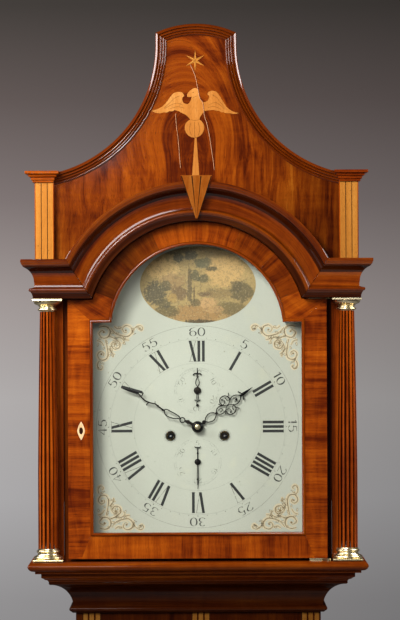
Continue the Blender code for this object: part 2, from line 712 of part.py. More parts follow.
def hands():
    """The four hands at ten to two: minute, hour, seconds and calendar."""
    minute = [(-0.007, 0.0, 0.004), (0.0, 0.0, 0.008), (0.009, 0.0, 0.0035), (0.014, 0.0, 0.0010),
              (0.020, 0.0, 0.0035), (0.030, 0.0, 0.0040), (0.040, 0.001, 0.0012), (0.052, -0.0015, 0.0011),
              (0.064, 0.0015, 0.0011), (0.076, -0.0010, 0.0011), (0.088, 0.0, 0.0026), (0.096, 0.0, 0.0030),
              (0.104, 0.0, 0.0009), (0.1249, 0.0, 0.0003)]
    opening = [slit(0.017, 0.036, 0.0, 0.0022), slit(0.087, 0.100, 0.0, 0.0014)]
    hand("minute_hand", minute, opening, CENTRE, MINUTE_FRONT, MINUTE_ANGLE, (0.0080, 0.0040), None)
    hour_stations = [(-0.006, 0.0, 0.005), (0.0, 0.0, 0.0085), (0.009, 0.0, 0.0030), (0.017, 0.0, 0.0050),
                     (0.026, 0.0, 0.0015), (0.032, 0.0, 0.0110), (0.040, 0.0, 0.0125), (0.048, 0.0, 0.0105),
                     (0.054, 0.0, 0.0070), (0.060, 0.0, 0.0015), (0.072, 0.0, 0.0030), (0.0957, 0.0, 0.0003)]
    opening = [circle((0.0, 0.0), 0.0033, 12), slit(0.012, 0.023, 0.0, 0.0028), slit(0.031, 0.055, 0.0050, 0.0030),
               slit(0.031, 0.055, -0.0050, 0.0030)]
    made = plate("hour_hand", [ribbon(hour_stations), *opening], HOUR_FRONT, 0.0009, "blued_steel",
                 pivot=CENTRE, turn=HOUR_ANGLE)
    near, far = -(HOUR_FRONT + 0.0002), -(FRONT_PLATE_Y - 0.001)
    pipe = [(0.0030, near), (0.0048, near), (0.0048, 0.024), (0.0300, 0.024), (0.0300, 0.022),
            (0.0048, 0.022), (0.0048, far), (0.0030, far), (0.0030, near)]
    combine(made, turned("hour_pipe", pipe, "brass", (CENTRE[0], 0.0, CENTRE[1]), forward=True))
    seconds = [(-0.0229, 0.0, 0.0015), (-0.0200, 0.0, 0.0018), (-0.0160, 0.0, 0.0008), (-0.0050, 0.0, 0.0012),
               (0.0, 0.0, 0.0040), (0.0045, 0.0, 0.0012), (0.0100, 0.0, 0.0030), (0.0155, 0.0, 0.0010),
               (0.0286, 0.0, 0.0004)]
    hand("seconds_hand", seconds, [slit(0.0065, 0.0140, 0.0, 0.0018)], SECONDS, SMALL_HAND_FRONT, 0.0,
         (0.0038, 0.0012), None)
    calendar = [(-0.0229, 0.0, 0.0020), (-0.0160, 0.0, 0.0008), (-0.0045, 0.0, 0.0010), (0.0, 0.0, 0.0036),
                (0.0050, 0.0, 0.0012), (0.0240, 0.0, 0.0022), (0.0415, 0.0, 0.0003)]
    hand("calendar_hand", calendar, [], CALENDAR, SMALL_HAND_FRONT, math.pi, (0.0034, 0.0012), -0.030)


# ---------------------------------------------------------------- movement


def movement_plates():
    """Two brass plates, four pillars riveted to the back one, and the cock that hangs the pendulum."""
    low = SEAT_TOP
    outline = [(-PLATE_HALF, low), (PLATE_HALF, low), (PLATE_HALF, PLATE_TOP), (-PLATE_HALF, PLATE_TOP)]
    barrels = [circle((side * BARREL_X, BARREL_Z), 0.0040, 12) for side in (-1, 1)]
    front_holes = [circle(CENTRE, 0.0032, 12), circle(SECONDS, 0.0022, 10), *barrels]
    plate("movement_front_plate", [outline, *front_holes], FRONT_PLATE_Y, PLATE_THICK, "brass")
    made = plate("movement_back_plate", [outline, circle(PALLET, 0.0022, 10)], BACK_PLATE_Y, PLATE_THICK, "brass")
    for i, (x, z) in enumerate(((-0.058, 1.773), (0.058, 1.773), (-0.058, 1.940), (0.058, 1.940))):
        near, far = -(FRONT_PLATE_Y + PLATE_THICK + GAP), -(BACK_PLATE_Y + 0.001)
        middle = (near + far) / 2
        profile = [(0.0, near), (0.0045, near), (0.0030, near - 0.008), (0.0042, middle),
                   (0.0030, far + 0.008), (0.0045, far), (0.0, far)]
        combine(made, turned(f"pillar_{i}", profile, "brass", (x, 0.0, z), forward=True, steps=10))
    cock_ys = (BACK_PLATE_Y + 0.001, 0.084)
    combine(made, board("pendulum_cock", (-0.008, 0.008), cock_ys, (1.9405, 1.9475), "brass"))


def toothed(name, teeth, tip, root, centre, front, thickness, kind, lean=0.0):
    """A flat wheel with pointed teeth; lean tilts them one way, as on an escape wheel."""
    rim = []
    for i in range(teeth):
        base = 2 * math.pi * i / teeth
        rim.append((root * math.cos(base), root * math.sin(base)))
        peak = base + math.pi * (1.0 + lean) / teeth
        rim.append((tip * math.cos(peak), tip * math.sin(peak)))
    return plate(name, [rim], front, thickness, kind, pivot=centre)


def arbor(name, profile, kind, centre, steps=12):
    """A turned arbor along y; profile points are (radius, y), from the front to the back."""
    turned_profile = [(r, -y) for r, y in profile]
    return turned(name, turned_profile, kind, (centre[0], 0.0, centre[1]), forward=True, steps=steps)


def rod_profile(radius, front, back, bulges):
    """An arbor's outline with larger stretches, each (radius, front, back), from front to back."""
    points = [(0.0, front), (radius, front)]
    for r, y0, y1 in bulges:
        points += [(radius, y0), (r, y0), (r, y1), (radius, y1)]
    return points + [(radius, back), (0.0, back)]


def train():
    """Both barrels with their great wheels, and the going train up to the escape wheel."""
    back = BACK_PLATE_Y - GAP
    for word, side in (("time", 1), ("strike", -1)):
        centre = (side * BARREL_X, BARREL_Z)
        tip = 0.0372 if side > 0 else 0.0360
        made = toothed(f"barrel_{word}", 96 if side > 0 else 84, tip, tip - 0.0014, centre, 0.0285, 0.0025, "brass")
        drum = rod_profile(0.0030, -0.0475, back, [(0.0230, -0.0075, 0.0290)])
        combine(made, arbor(f"drum_{word}", drum, "brass", centre, steps=20))
    centre_wheel = toothed("centre_wheel", 60, 0.0350, 0.0336, CENTRE, -0.0108, 0.0015, "brass")
    shaft = rod_profile(0.0022, MINUTE_FRONT + 0.0012, back, [(0.0032, 0.0278, 0.0318)])
    combine(centre_wheel, arbor("centre_arbor", shaft, "steel", CENTRE))
    third_wheel = toothed("third_wheel", 56, 0.0230, 0.0218, THIRD, 0.0120, 0.0015, "brass")
    shaft = rod_profile(0.0015, FRONT_PLATE_Y + PLATE_THICK + GAP, back, [(0.0046, -0.0116, -0.0086)])
    combine(third_wheel, arbor("third_arbor", shaft, "steel", THIRD))
    escape = toothed("escape_wheel", 30, 0.0165, 0.0142, SECONDS, 0.0360, 0.0012, "brass", lean=0.8)
    shaft = rod_profile(0.0014, SMALL_HAND_FRONT + 0.0012, back, [(0.0027, 0.0105, 0.0145)])
    combine(escape, arbor("escape_arbor", shaft, "steel", SECONDS))


def pallets():
    """The anchor over the escape wheel, with its arbor and the crutch behind the back plate."""
    arms = [(0.0, 0.004)]
    arms += [(0.0175, -0.0075), (0.0190, -0.0165), (0.0168, -0.0165), (0.0152, -0.0085), (0.0, -0.0030)]
    outline = arms + [(-x, z) for x, z in reversed(arms[1:-1])]
    made = plate("pallet_anchor", [outline], 0.0358, 0.0016, "steel", pivot=PALLET)
    shaft = [(0.0, -0.0120), (0.0013, -0.0120), (0.0013, 0.0680), (0.0, 0.0680)]
    combine(made, arbor("pallet_arbor", shaft, "steel", PALLET, steps=10))
    combine(made, board("crutch", (-0.002, 0.002), (0.0625, 0.0655), (1.790, PALLET[1] + 0.001), "steel"))
    combine(made, board("crutch_foot", (-0.004, 0.004), (0.0630, 0.0715), (1.790, 1.793), "steel"))


def pendulum():
    """The rod, and the lens-shaped bob with its rating nut; both have their origin on the pallet arbor's line."""
    top = 1.9395
    bob_top = BOB_Z + BOB_R
    bm = bmesh.new()
    shift = Matrix.Translation((0.0, 0.0, (top + bob_top + GAP) / 2 - PALLET[1]))
    length = top - bob_top - GAP
    bmesh.ops.create_cone(bm, cap_ends=True, segments=10, radius1=0.0024, radius2=0.0024, depth=length, matrix=shift)
    rod = mesh_object("pendulum_rod", bm, "steel")
    rod.location = (PALLET[0], PENDULUM_Y, PALLET[1])
    lens = [(0.0, 0.0130), (0.0200, 0.0120), (0.0400, 0.0080), (BOB_R - 0.002, 0.0030), (BOB_R, 0.0012),
            (BOB_R, -0.0012), (BOB_R - 0.002, -0.0030), (0.0400, -0.0080), (0.0200, -0.0120), (0.0, -0.0130)]
    bob = turned("pendulum_bob", lens, "brass", (0.0, PENDULUM_Y, BOB_Z), forward=True, steps=32)
    bottom = BOB_Z - BOB_R
    nut = [(0.0, bottom + 0.004), (0.0024, bottom + 0.004), (0.0024, bottom - 0.004), (0.0080, bottom - 0.004),
           (0.0080, bottom - 0.010), (0.0024, bottom - 0.010), (0.0024, bottom - 0.030), (0.0, bottom - 0.030)]
    combine(bob, turned("rating_nut", nut, "brass", (0.0, PENDULUM_Y, 0.0), steps=12))


def weights():
    """A cased weight hung from a pulley each side, and the gut line that runs round the pulley."""
    for word, side in (("time", 1), ("strike", -1)):
        x = side * PULLEY_X
        can = [(0.0, WEIGHT_TOP), (0.0060, WEIGHT_TOP), (WEIGHT_R - 0.004, WEIGHT_TOP - 0.004),
               (WEIGHT_R, WEIGHT_TOP - 0.010), (WEIGHT_R, WEIGHT_BOTTOM + 0.004),
               (WEIGHT_R - 0.004, WEIGHT_BOTTOM), (0.0, WEIGHT_BOTTOM)]
        made = turned(f"weight_{word}", can, "lead", (x, LINE_Y, 0.0), steps=20)
        hook_zs = (WEIGHT_TOP - 0.002, PULLEY_Z + 0.004)
        for ys in ((LINE_Y - 0.0050, LINE_Y - 0.0030), (LINE_Y + 0.0030, LINE_Y + 0.0050)):
            cheek = board(f"pulley_cheek_{word}", (x - 0.003, x + 0.003), ys, hook_zs, "brass")
            combine(made, cheek)
        sheave = [(0.0, 0.0035), (0.0155, 0.0035), (0.0135, 0.0), (0.0155, -0.0035), (0.0, -0.0035)]
        combine(made, turned(f"sheave_{word}", sheave, "brass", (x, LINE_Y, PULLEY_Z), forward=True, steps=16))
        gut_line(word, side)


def gut_line(word, side):
    """The line: down from the barrel, half way round the pulley, and up to the seatboard."""
    bend = PULLEY_X - LINE_X
    route = [(LINE_X, BARREL_Z - 0.004), (LINE_X, PULLEY_Z + 0.02)]
    route += arc((PULLEY_X, PULLEY_Z), bend, 180, 360, 8)
    route += [(PULLEY_X + bend, PULLEY_Z + 0.02), (PULLEY_X + bend, SEAT_TOP - 0.020 - GAP)]
    curve = bpy.data.curves.new(f"gut_line_{word}", "CURVE")
    curve.dimensions = "3D"
    curve.bevel_depth = 0.0009
    curve.bevel_resolution = 0
    curve.use_fill_caps = True
    spline = curve.splines.new("POLY")
    spline.points.add(len(route) - 1)
    for point, (x, z) in zip(spline.points, route):
        point.co = (side * x, LINE_Y, z, 1.0)
    drawn = bpy.data.objects.new(f"gut_line_{word}_path", curve)
    CUTTERS.objects.link(drawn)
    as_mesh(f"gut_line_{word}", drawn, "gut")


def bell():
    """The bell on its post above the back plate."""
    foot_z = PLATE_TOP + GAP
    profile = [(0.0, 2.0060), (0.0060, 2.0060), (0.0200, 2.0035), (0.0340, 1.9950), (0.0420, 1.9800),
               (0.0450, 1.9680), (0.0425, 1.9680), (0.0395, 1.9795), (0.0320, 1.9930), (0.0190, 2.0010),
               (0.0030, 2.0030), (0.0030, foot_z), (0.0, foot_z)]
    turned("bell", profile, "bell_metal", (0.0, BACK_PLATE_Y + 0.001, 0.0), steps=28)


feet()
plinth()
trunk()
backboard()
seatboard()
trunk_door()
cornice()
keystone_wedge("keystone")
hood_box()
tympanum()
pediment_mouldings()
pediment_corners()
columns()
hood_door()
dial()
hands()
movement_plates()
train()
pallets()
pendulum()
weights()
bell()
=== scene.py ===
"""Looks of the tall-case clock: figured mahogany, inlay, brass, a painted dial and pierced hands.

Metres, +Z up, front towards -Y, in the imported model's frame. Each section makes one group of pieces.
"""

import json
import math

import bmesh
import bpy
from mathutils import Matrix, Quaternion, Vector

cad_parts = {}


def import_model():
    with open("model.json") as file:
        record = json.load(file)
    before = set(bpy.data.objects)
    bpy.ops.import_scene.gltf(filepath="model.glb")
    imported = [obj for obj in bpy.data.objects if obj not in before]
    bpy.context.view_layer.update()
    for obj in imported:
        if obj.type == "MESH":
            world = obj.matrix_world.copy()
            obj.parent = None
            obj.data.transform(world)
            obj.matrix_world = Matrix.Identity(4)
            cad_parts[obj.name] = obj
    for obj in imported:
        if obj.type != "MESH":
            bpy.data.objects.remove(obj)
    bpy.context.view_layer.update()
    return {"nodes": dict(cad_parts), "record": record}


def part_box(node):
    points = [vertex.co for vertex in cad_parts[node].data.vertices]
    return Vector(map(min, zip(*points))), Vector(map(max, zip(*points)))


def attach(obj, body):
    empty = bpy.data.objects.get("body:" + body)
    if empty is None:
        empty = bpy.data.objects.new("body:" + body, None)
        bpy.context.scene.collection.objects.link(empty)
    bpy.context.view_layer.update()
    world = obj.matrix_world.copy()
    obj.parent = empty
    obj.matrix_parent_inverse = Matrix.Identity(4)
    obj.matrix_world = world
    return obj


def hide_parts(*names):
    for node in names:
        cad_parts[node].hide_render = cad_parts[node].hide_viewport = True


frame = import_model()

NODES = frame["nodes"]


def low(node):
    """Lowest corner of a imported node's box."""
    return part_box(node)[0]


def high(node):
    """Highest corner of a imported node's box."""
    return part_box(node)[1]


def tall(node):
    """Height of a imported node's box."""
    return high(node).z - low(node).z


# Levels, planes and half widths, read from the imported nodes
GAP = 0.0003
BACK = high("backboard").y
TRUNK_HALF = high("trunk_side_right").x
TRUNK_FRONT = low("trunk_front_frame").y
PLINTH_HALF = high("plinth_front").x
PLINTH_FRONT = low("plinth_front").y
PLINTH_TOP = high("plinth_front").z
THROAT_BOTTOM = low("throat_moulding").z
HOOD_HALF = high("hood_side_right").x
CORNICE_BOTTOM = low("cornice_right").z
CAP_BOTTOM = low("pediment_cap_right").z
TYMPANUM_FRONT = low("tympanum").y
DOOR_FRONT = low("hood_door_frame").y
DOOR_HALF = high("hood_door_frame").x
DOOR_BOTTOM = low("hood_door_frame").z
DIAL_FRONT = low("dial_plate").y
CROWN_TOP = high("crown_moulding").z

# The arch's centre and radii, and the design's other lines
ARCH_Z = 1.999
OPENING_HALF = 0.150
OPENING_BOTTOM = 1.709
OPENING_SHOULDER = 2.011
OPENING_R = 0.1238
DOOR_R = 0.1568
DOOR_SHOULDER = 2.0445
CORNICE_R = 0.158
HOOD_FRONT = -0.101
SWEEP_R = 0.1885
SWEEP_X = 0.2465
SWEEP_Z = 2.410
CROWN_RISE = 0.013
CROWN_HALF = SWEEP_X - SWEEP_R
CROWN_R = (CROWN_HALF ** 2 + CROWN_RISE ** 2) / (2 * CROWN_RISE)
COLUMN_X = 0.215
COLUMN_Y = -0.0935
CENTRE = (0.0, 1.860)
SECONDS = (0.0, 1.9124)
CALENDAR = (0.0, 1.8094)
WINDING = ((-0.039, 1.847), (0.039, 1.847))

# The hands' front faces, nearest the dial first, and their angles clockwise from twelve
SMALL_FRONT = -0.0472
HOUR_FRONT = -0.0502
MINUTE_FRONT = -0.0545
HOUR_ANGLE = math.radians(54.4)
MINUTE_ANGLE = math.radians(297.5)


# ---------------------------------------------------------------- camera, light and stage

VIEW_CENTRE = Vector((0.0043, -0.060, 2.0288))
VIEW_HEIGHT = 0.8939          # metres that the picture's height covers at the dial
VIEW_DISTANCE = 8.0
VIEW_ROLL = math.radians(-0.257)
SENSOR = 36.0


def linked(name, data):
    """A new object in the scene."""
    made = bpy.data.objects.new(name, data)
    bpy.context.scene.collection.objects.link(made)
    return made


def camera():
    """A long lens level with the hood's arch, straight on, and rolled a hair."""
    made = linked("camera", bpy.data.cameras.new("camera"))
    made.data.sensor_width = SENSOR
    made.data.lens = SENSOR * VIEW_DISTANCE / VIEW_HEIGHT
    forward = Vector((0.0, 1.0, 0.0))
    made.location = VIEW_CENTRE - forward * VIEW_DISTANCE
    made.rotation_mode = "QUATERNION"
    made.rotation_quaternion = forward.to_track_quat("-Z", "Y") @ Quaternion((0.0, 0.0, 1.0), VIEW_ROLL)
    made.data.clip_start = 0.05
    bpy.context.scene.camera = made


def area_light(name, place, target, size, power, colour=(1.0, 1.0, 1.0)):
    """A soft box at a place, facing a target."""
    lamp = bpy.data.lights.new(name, "AREA")
    lamp.shape = "RECTANGLE"
    lamp.size, lamp.size_y = size
    lamp.energy = power
    lamp.color = colour
    made = linked(name, lamp)
    made.location = place
    facing = Vector(target) - Vector(place)
    made.rotation_mode = "QUATERNION"
    made.rotation_quaternion = facing.to_track_quat("-Z", "Y")
    made.visible_camera = False


def lights():
    """A key from the upper left, a weaker fill below it, and a box on each side for the pediment's neck."""
    hood = (0.0, -0.05, 2.00)
    neck = (0.0, -0.09, 2.385)
    area_light("key_soft_box", (-0.70, -1.68, 2.86), hood, (0.45, 0.55), 36.0, (1.0, 0.985, 0.955))
    area_light("front_fill", (-0.48, -2.25, 2.62), hood, (0.7, 0.66), 22.0, (1.0, 0.99, 0.975))
    area_light("left_neck_box", (-1.10, -0.34, 2.50), neck, (1.1, 0.44), 25.0)
    area_light("right_neck_box", (1.10, -0.30, 2.50), neck, (1.0, 0.44), 25.0)


# Backdrop: (sine of the height angle, colour), from below the horizon to overhead
BACKDROP = ((-0.090, (0.20, 0.195, 0.198)), (-0.052, (0.287, 0.279, 0.283)), (-0.034, (0.402, 0.392, 0.397)),
            (-0.016, (0.434, 0.412, 0.407)), (0.002, (0.356, 0.314, 0.305)), (0.020, (0.212, 0.178, 0.174)),
            (0.038, (0.122, 0.098, 0.093)), (0.055, (0.058, 0.050, 0.045)), (0.120, (0.040, 0.036, 0.034)))


def fill_ramp(ramp, stops):
    """Gives a colour ramp its stops: (place, colour)."""
    elements = ramp.color_ramp.elements
    while len(elements) < len(stops):
        elements.new(1.0)
    for element, (place, colour) in zip(elements, stops):
        element.position = place
        element.color = (*colour, 1.0)


def world():
    """A studio backdrop: mid grey at eye level, darker overhead, to the right and behind the camera."""
    made = bpy.data.worlds.new("studio")
    made.use_nodes = True
    bpy.context.scene.world = made
    tree = made.node_tree
    split = tree.nodes.new("ShaderNodeSeparateXYZ")
    tree.links.new(tree.nodes.new("ShaderNodeTexCoord").outputs["Generated"], split.inputs[0])

    def spread(axis, start, end, to_start, to_end):
        made = tree.nodes.new("ShaderNodeMapRange")
        for name, value in (("From Min", start), ("From Max", end), ("To Min", to_start), ("To Max", to_end)):
            made.inputs[name].default_value = value
        tree.links.new(split.outputs[axis], made.inputs["Value"])
        return made.outputs["Result"]

    bottom, top = BACKDROP[0][0], BACKDROP[-1][0]
    ramp = tree.nodes.new("ShaderNodeValToRGB")
    fill_ramp(ramp, [((at - bottom) / (top - bottom), colour) for at, colour in BACKDROP])
    tree.links.new(spread("Z", bottom, top, 0.0, 1.0), ramp.inputs["Fac"])
    share = tree.nodes.new("ShaderNodeMath")
    share.operation = "MULTIPLY"
    tree.links.new(spread("X", -0.036, 0.036, 1.0, 0.66), share.inputs[0])
    tree.links.new(spread("Y", -0.4, 0.5, 0.35, 1.0), share.inputs[1])
    back = tree.nodes["Background"]
    tree.links.new(ramp.outputs["Color"], back.inputs["Color"])
    tree.links.new(share.outputs[0], back.inputs["Strength"])


def floor():
    """A large pale disc with a weak glow of its own, so that it stays pale away from the lights."""
    count, radius = 64, 16.5
    rim = [(*point, 0.0) for point in arc((0.0, 0.0), radius, 0, 360 * (count - 1) / count, count - 1)]
    mesh = bpy.data.meshes.new("floor")
    mesh.from_pydata(rim, [], [tuple(range(count))])
    made = linked("floor", mesh)
    look = Look("floor_paint")
    look.set("Base Color", (0.72, 0.71, 0.70, 1.0))
    look.set("Roughness", 0.7)
    look.set("Emission Color", (1.0, 0.985, 0.97, 1.0))
    look.set("Emission Strength", 0.060)
    mesh.materials.append(look.material)


# ---------------------------------------------------------------- materials


class Look:
    """A node material around one Principled shader."""

    def __init__(self, name):
        self.material = bpy.data.materials.new(name)
        self.material.use_nodes = True
        self.tree = self.material.node_tree
        self.shader = self.tree.nodes["Principled BSDF"]
        self.at = self.tree.nodes.new("ShaderNodeTexCoord").outputs["Object"]

    def set(self, socket, value):
        self.feed(self.shader.inputs[socket], value)

    def feed(self, socket, value):
        if isinstance(value, bpy.types.NodeSocket):
            self.tree.links.new(value, socket)
        else:
            socket.default_value = value

    def node(self, kind, inputs, **settings):
        """A node with its settings and its inputs, which are numbers or other nodes' outputs."""
        made = self.tree.nodes.new("ShaderNode" + kind)
        for key, value in settings.items():
            setattr(made, key, value)
        for key, value in inputs.items():
            self.feed(made.inputs[key], value)
        return made

    def grain(self):
        """Coordinates that follow the wood: x runs along the grain."""
        return self.node("Attribute", {}, attribute_name="grain").outputs["Vector"]

    def stretch(self, at, scale, shift=(0.0, 0.0, 0.0)):
        return self.node("Mapping", {"Vector": at, "Scale": scale, "Location": shift}).outputs[0]

    def noise(self, at, scale=1.0, detail=2.0, roughness=0.5, distortion=0.0):
        inputs = {"Vector": at, "Scale": scale, "Detail": detail, "Roughness": roughness,
                  "Distortion": distortion}
        return self.node("TexNoise", inputs).outputs["Fac"]

    def math(self, operation, a, b=0.0):
        return self.node("Math", {0: a, 1: b}, operation=operation).outputs[0]

    def plus(self, a, b):
        return self.math("ADD", a, b)

    def minus(self, a, b):
        return self.math("SUBTRACT", a, b)

    def times(self, a, b):
        return self.math("MULTIPLY", a, b)

    def distance(self, u, v):
        return self.math("SQRT", self.plus(self.math("POWER", u, 2.0), self.math("POWER", v, 2.0)))

    def split(self, at):
        """The x, y and z of coordinates."""
        return self.node("SeparateXYZ", {0: at}).outputs

    def join(self, *parts):
        return self.node("CombineXYZ", dict(enumerate(parts))).outputs[0]

    def between(self, value, from_low, from_high, to_low=0.0, to_high=1.0):
        """The value spread from one range to another, easing in and out."""
        inputs = {"Value": value, "From Min": from_low, "From Max": from_high,
                  "To Min": to_low, "To Max": to_high}
        return self.node("MapRange", inputs, interpolation_type="SMOOTHSTEP").outputs[0]

    def weigh(self, parts, total=0.5):
        """The total, plus each (value, weight) counted from its own middle of one half."""
        for value, weight in parts:
            total = self.plus(total, self.times(self.minus(value, 0.5), weight))
        return total

    def mix(self, share, a, b, blend="MIX"):
        """Two colours, or a colour and a number, mixed in a share."""
        made = self.node("Mix", {0: share}, data_type="RGBA", blend_type=blend)
        for index, value in ((6, a), (7, b)):
            self.feed(made.inputs[index], (*value, 1.0) if isinstance(value, tuple) else value)
        return made.outputs[2]

    def ramp(self, value, stops):
        made = self.node("ValToRGB", {"Fac": value})
        fill_ramp(made, stops)
        return made.outputs["Color"]

    def bump(self, height, distance, strength):
        inputs = {"Height": height, "Distance": distance, "Strength": strength}
        self.set("Normal", self.node("Bump", inputs).outputs[0])


MAHOGANY = ((0.0, (0.020, 0.0020, 0.0003)), (0.28, (0.080, 0.009, 0.0006)), (0.50, (0.200, 0.031, 0.0012)),
            (0.74, (0.330, 0.066, 0.0026)), (1.0, (0.500, 0.140, 0.0090)))
SATINWOOD = ((0.0, (0.30, 0.093, 0.011)), (0.5, (0.50, 0.190, 0.028)), (1.0, (0.70, 0.345, 0.078)))
OAK = ((0.0, (0.10, 0.055, 0.022)), (0.5, (0.22, 0.13, 0.060)), (1.0, (0.36, 0.23, 0.12)))
STRING = ((0.0, (0.010, 0.004, 0.002)), (1.0, (0.030, 0.010, 0.004)))
AXES = {"x": (0, 1, 2), "y": (1, 0, 2), "z": (2, 0, 1)}
LOOKS = {}


def tinted(tones, *share):
    """The same tones lighter or darker: one share for all of red, green and blue, or one for each."""
    return tuple((at, tuple(c * share[i % len(share)] for i, c in enumerate(colour))) for at, colour in tones)


# Lighter and darker copies of the tones: the lighter one is painted light, and the darker ones are painted
# shade where their uses say so.
PAINTED_LIGHT_MAHOGANY = tinted(MAHOGANY, 1.12)
DEEP_MAHOGANY = tinted(MAHOGANY, 0.72)
DARK_MAHOGANY = tinted(MAHOGANY, 0.50)
SHADED_MAHOGANY = tinted(MAHOGANY, 0.15)


def along_axis(look, axis):
    """The object's own coordinates, turned so that x runs along the given axis."""
    parts = look.split(look.at)
    return look.join(*(parts[i] for i in AXES[axis]))


def growth_rings(look, at, centre, tilt):
    """Bends the grain into nested arches, as a board cut across a tilted log shows."""
    along, across, depth = look.split(at)
    across = look.minus(across, centre[0])
    rise = look.times(look.minus(along, centre[1]), tilt)
    lopsided = look.plus(look.distance(across, rise), look.times(across, 0.35))
    return look.join(along, lopsided, depth)


def wood(name, axis=None, tones=MAHOGANY, figure=1.0, sway=0.0, shift=0.0, gloss=0.3, contrast=1.0,
         rings=None, painted_shade=None):
    """Polished wood. Its grain follows the piece's own grain coordinates, or an axis of the object.

    figure is the strength of the mottle across the grain, sway how far the grain wanders, rings the
    centre and tilt of its growth rings, and painted_shade says where shade is painted into the colour: the
    object's axis, the two places between which it fades, and the share of its colour that is left.
    """
    if name in LOOKS:
        return LOOKS[name]
    look = Look(name)
    at = look.grain() if axis is None else along_axis(look, axis)
    if rings:
        at = growth_rings(look, at, *rings)
    at = look.stretch(at, (1.0, 1.0, 1.0), (shift, shift * 1.7, shift * 0.6))
    if sway:
        wander = look.node("TexNoise", {"Vector": at, "Scale": 9.0, "Detail": 1.0}).outputs["Color"]
        steps = (("SUBTRACT", {1: (0.5, 0.5, 0.5)}), ("SCALE", {"Scale": sway}), ("ADD", {1: at}))
        for operation, inputs in steps:
            wander = look.node("VectorMath", {0: wander, **inputs}, operation=operation).outputs[0]
        at = wander
    bands = look.noise(look.stretch(at, (4.0, 85.0, 85.0)), 1.0, 5.0, 0.62, 0.6)
    broad = look.noise(look.stretch(at, (2.2, 17.0, 17.0)), 1.0, 2.0, 0.5, 0.4)
    mottle = look.noise(look.stretch(at, (62.0, 12.0, 12.0)), 1.0, 2.0, 0.55, 0.7)
    fibre = look.noise(look.stretch(at, (28.0, 900.0, 900.0)), 1.0, 2.0, 0.6)
    tone = look.weigh(((bands, 0.95 * contrast), (broad, 0.75 * contrast), (mottle, 0.38 * figure * contrast),
                       (fibre, 0.35)))
    colour = look.ramp(tone, tones)
    pores = look.noise(look.stretch(at, (150.0, 2600.0, 2600.0)), 1.0, 1.0, 0.5)
    pores = look.between(pores, 0.62, 0.72)
    colour = look.mix(look.times(pores, 0.55), colour, tuple(0.35 * c for c in tones[0][1]))
    # Painted shade: the colour darkened along one of the object's axes, for shadow and light falling off.
    if painted_shade:
        axis, start, end, left = painted_shade
        place = look.split(look.at)[axis]
        colour = look.mix(1.0, colour, look.between(place, start, end, 1.0, left), "MULTIPLY")
    look.set("Base Color", colour)
    smear = look.noise(at, 22.0, 3.0)
    look.set("Roughness", look.between(smear, 0.30, 0.72, 0.34, 0.50))
    look.set("Specular IOR Level", 0.01)
    look.set("Coat Weight", 0.6 * gloss)
    look.set("Coat Roughness", 0.07)
    height = look.minus(look.times(fibre, 0.5), pores)
    look.bump(height, 0.00002, 0.35)
    LOOKS[name] = look.material
    return look.material


def satinwood(word, share):
    """Satinwood with a share of its full colour."""
    tones = tinted(SATINWOOD, share)
    return wood(f"satinwood_{word}", "z", tones, figure=0.5, shift=0.2, gloss=0.5, contrast=0.8)


def stringing():
    """The dark wood of the inlaid lines."""
    return wood("dark_string", "z", STRING, figure=0.2, shift=0.9, gloss=0.4)


EVEN = (400.0, 400.0, 400.0)
# Metals: colour, tarnish, roughness, how the scratches are stretched, and their depth
METALS = {"pale_brass": ((0.82, 0.71, 0.46), (0.46, 0.35, 0.16), 0.27, EVEN, 0.00003),
          "satin_brass": ((0.78, 0.58, 0.24), (0.48, 0.32, 0.11), 0.30, (1500.0, 60.0, 60.0), 0.00003),
          "grey_steel": ((0.50, 0.50, 0.50), (0.28, 0.26, 0.25), 0.30, (60.0, 60.0, 1400.0), 0.00003),
          "black_steel": ((0.012, 0.012, 0.014), (0.030, 0.024, 0.020), 0.34, EVEN, 0.00003),
          "dull_lead": ((0.17, 0.17, 0.18), (0.10, 0.10, 0.105), 0.55, EVEN, 0.00015),
          "bell_bronze": ((0.68, 0.54, 0.30), (0.42, 0.30, 0.14), 0.24, (30.0, 30.0, 1500.0), 0.00003)}


def metal(name):
    """Metal with a cloudy tarnish and fine scratches."""
    if name in LOOKS:
        return LOOKS[name]
    colour, tarnish, roughness, scratches, depth = METALS[name]
    look = Look(name)
    cloud = look.noise(look.at, 55.0, 4.0, 0.6)
    fine = look.noise(look.stretch(look.at, scratches), 1.0, 2.0)
    look.set("Base Color", look.mix(look.between(cloud, 0.35, 0.75), colour, tarnish))
    look.set("Metallic", 1.0)
    rough = look.plus(look.times(fine, 0.10), roughness - 0.05)
    look.set("Roughness", look.plus(rough, look.between(cloud, 0.4, 0.8, 0.0, 0.12)))
    look.bump(fine, depth, 0.4)
    LOOKS[name] = look.material
    return look.material


def gut():
    """Twisted gut line."""
    look = Look("gut")
    along, _, rise = look.split(look.at)
    twist = look.math("SINE", look.plus(look.times(rise, 900.0), look.times(along, 2400.0)))
    look.set("Base Color", look.mix(look.between(twist, -1.0, 1.0), (0.36, 0.21, 0.07), (0.60, 0.42, 0.20)))
    look.set("Roughness", look.between(look.noise(look.at, 300.0), 0.3, 0.7, 0.45, 0.65))
    look.bump(twist, 0.0002, 0.6)
    return look.material


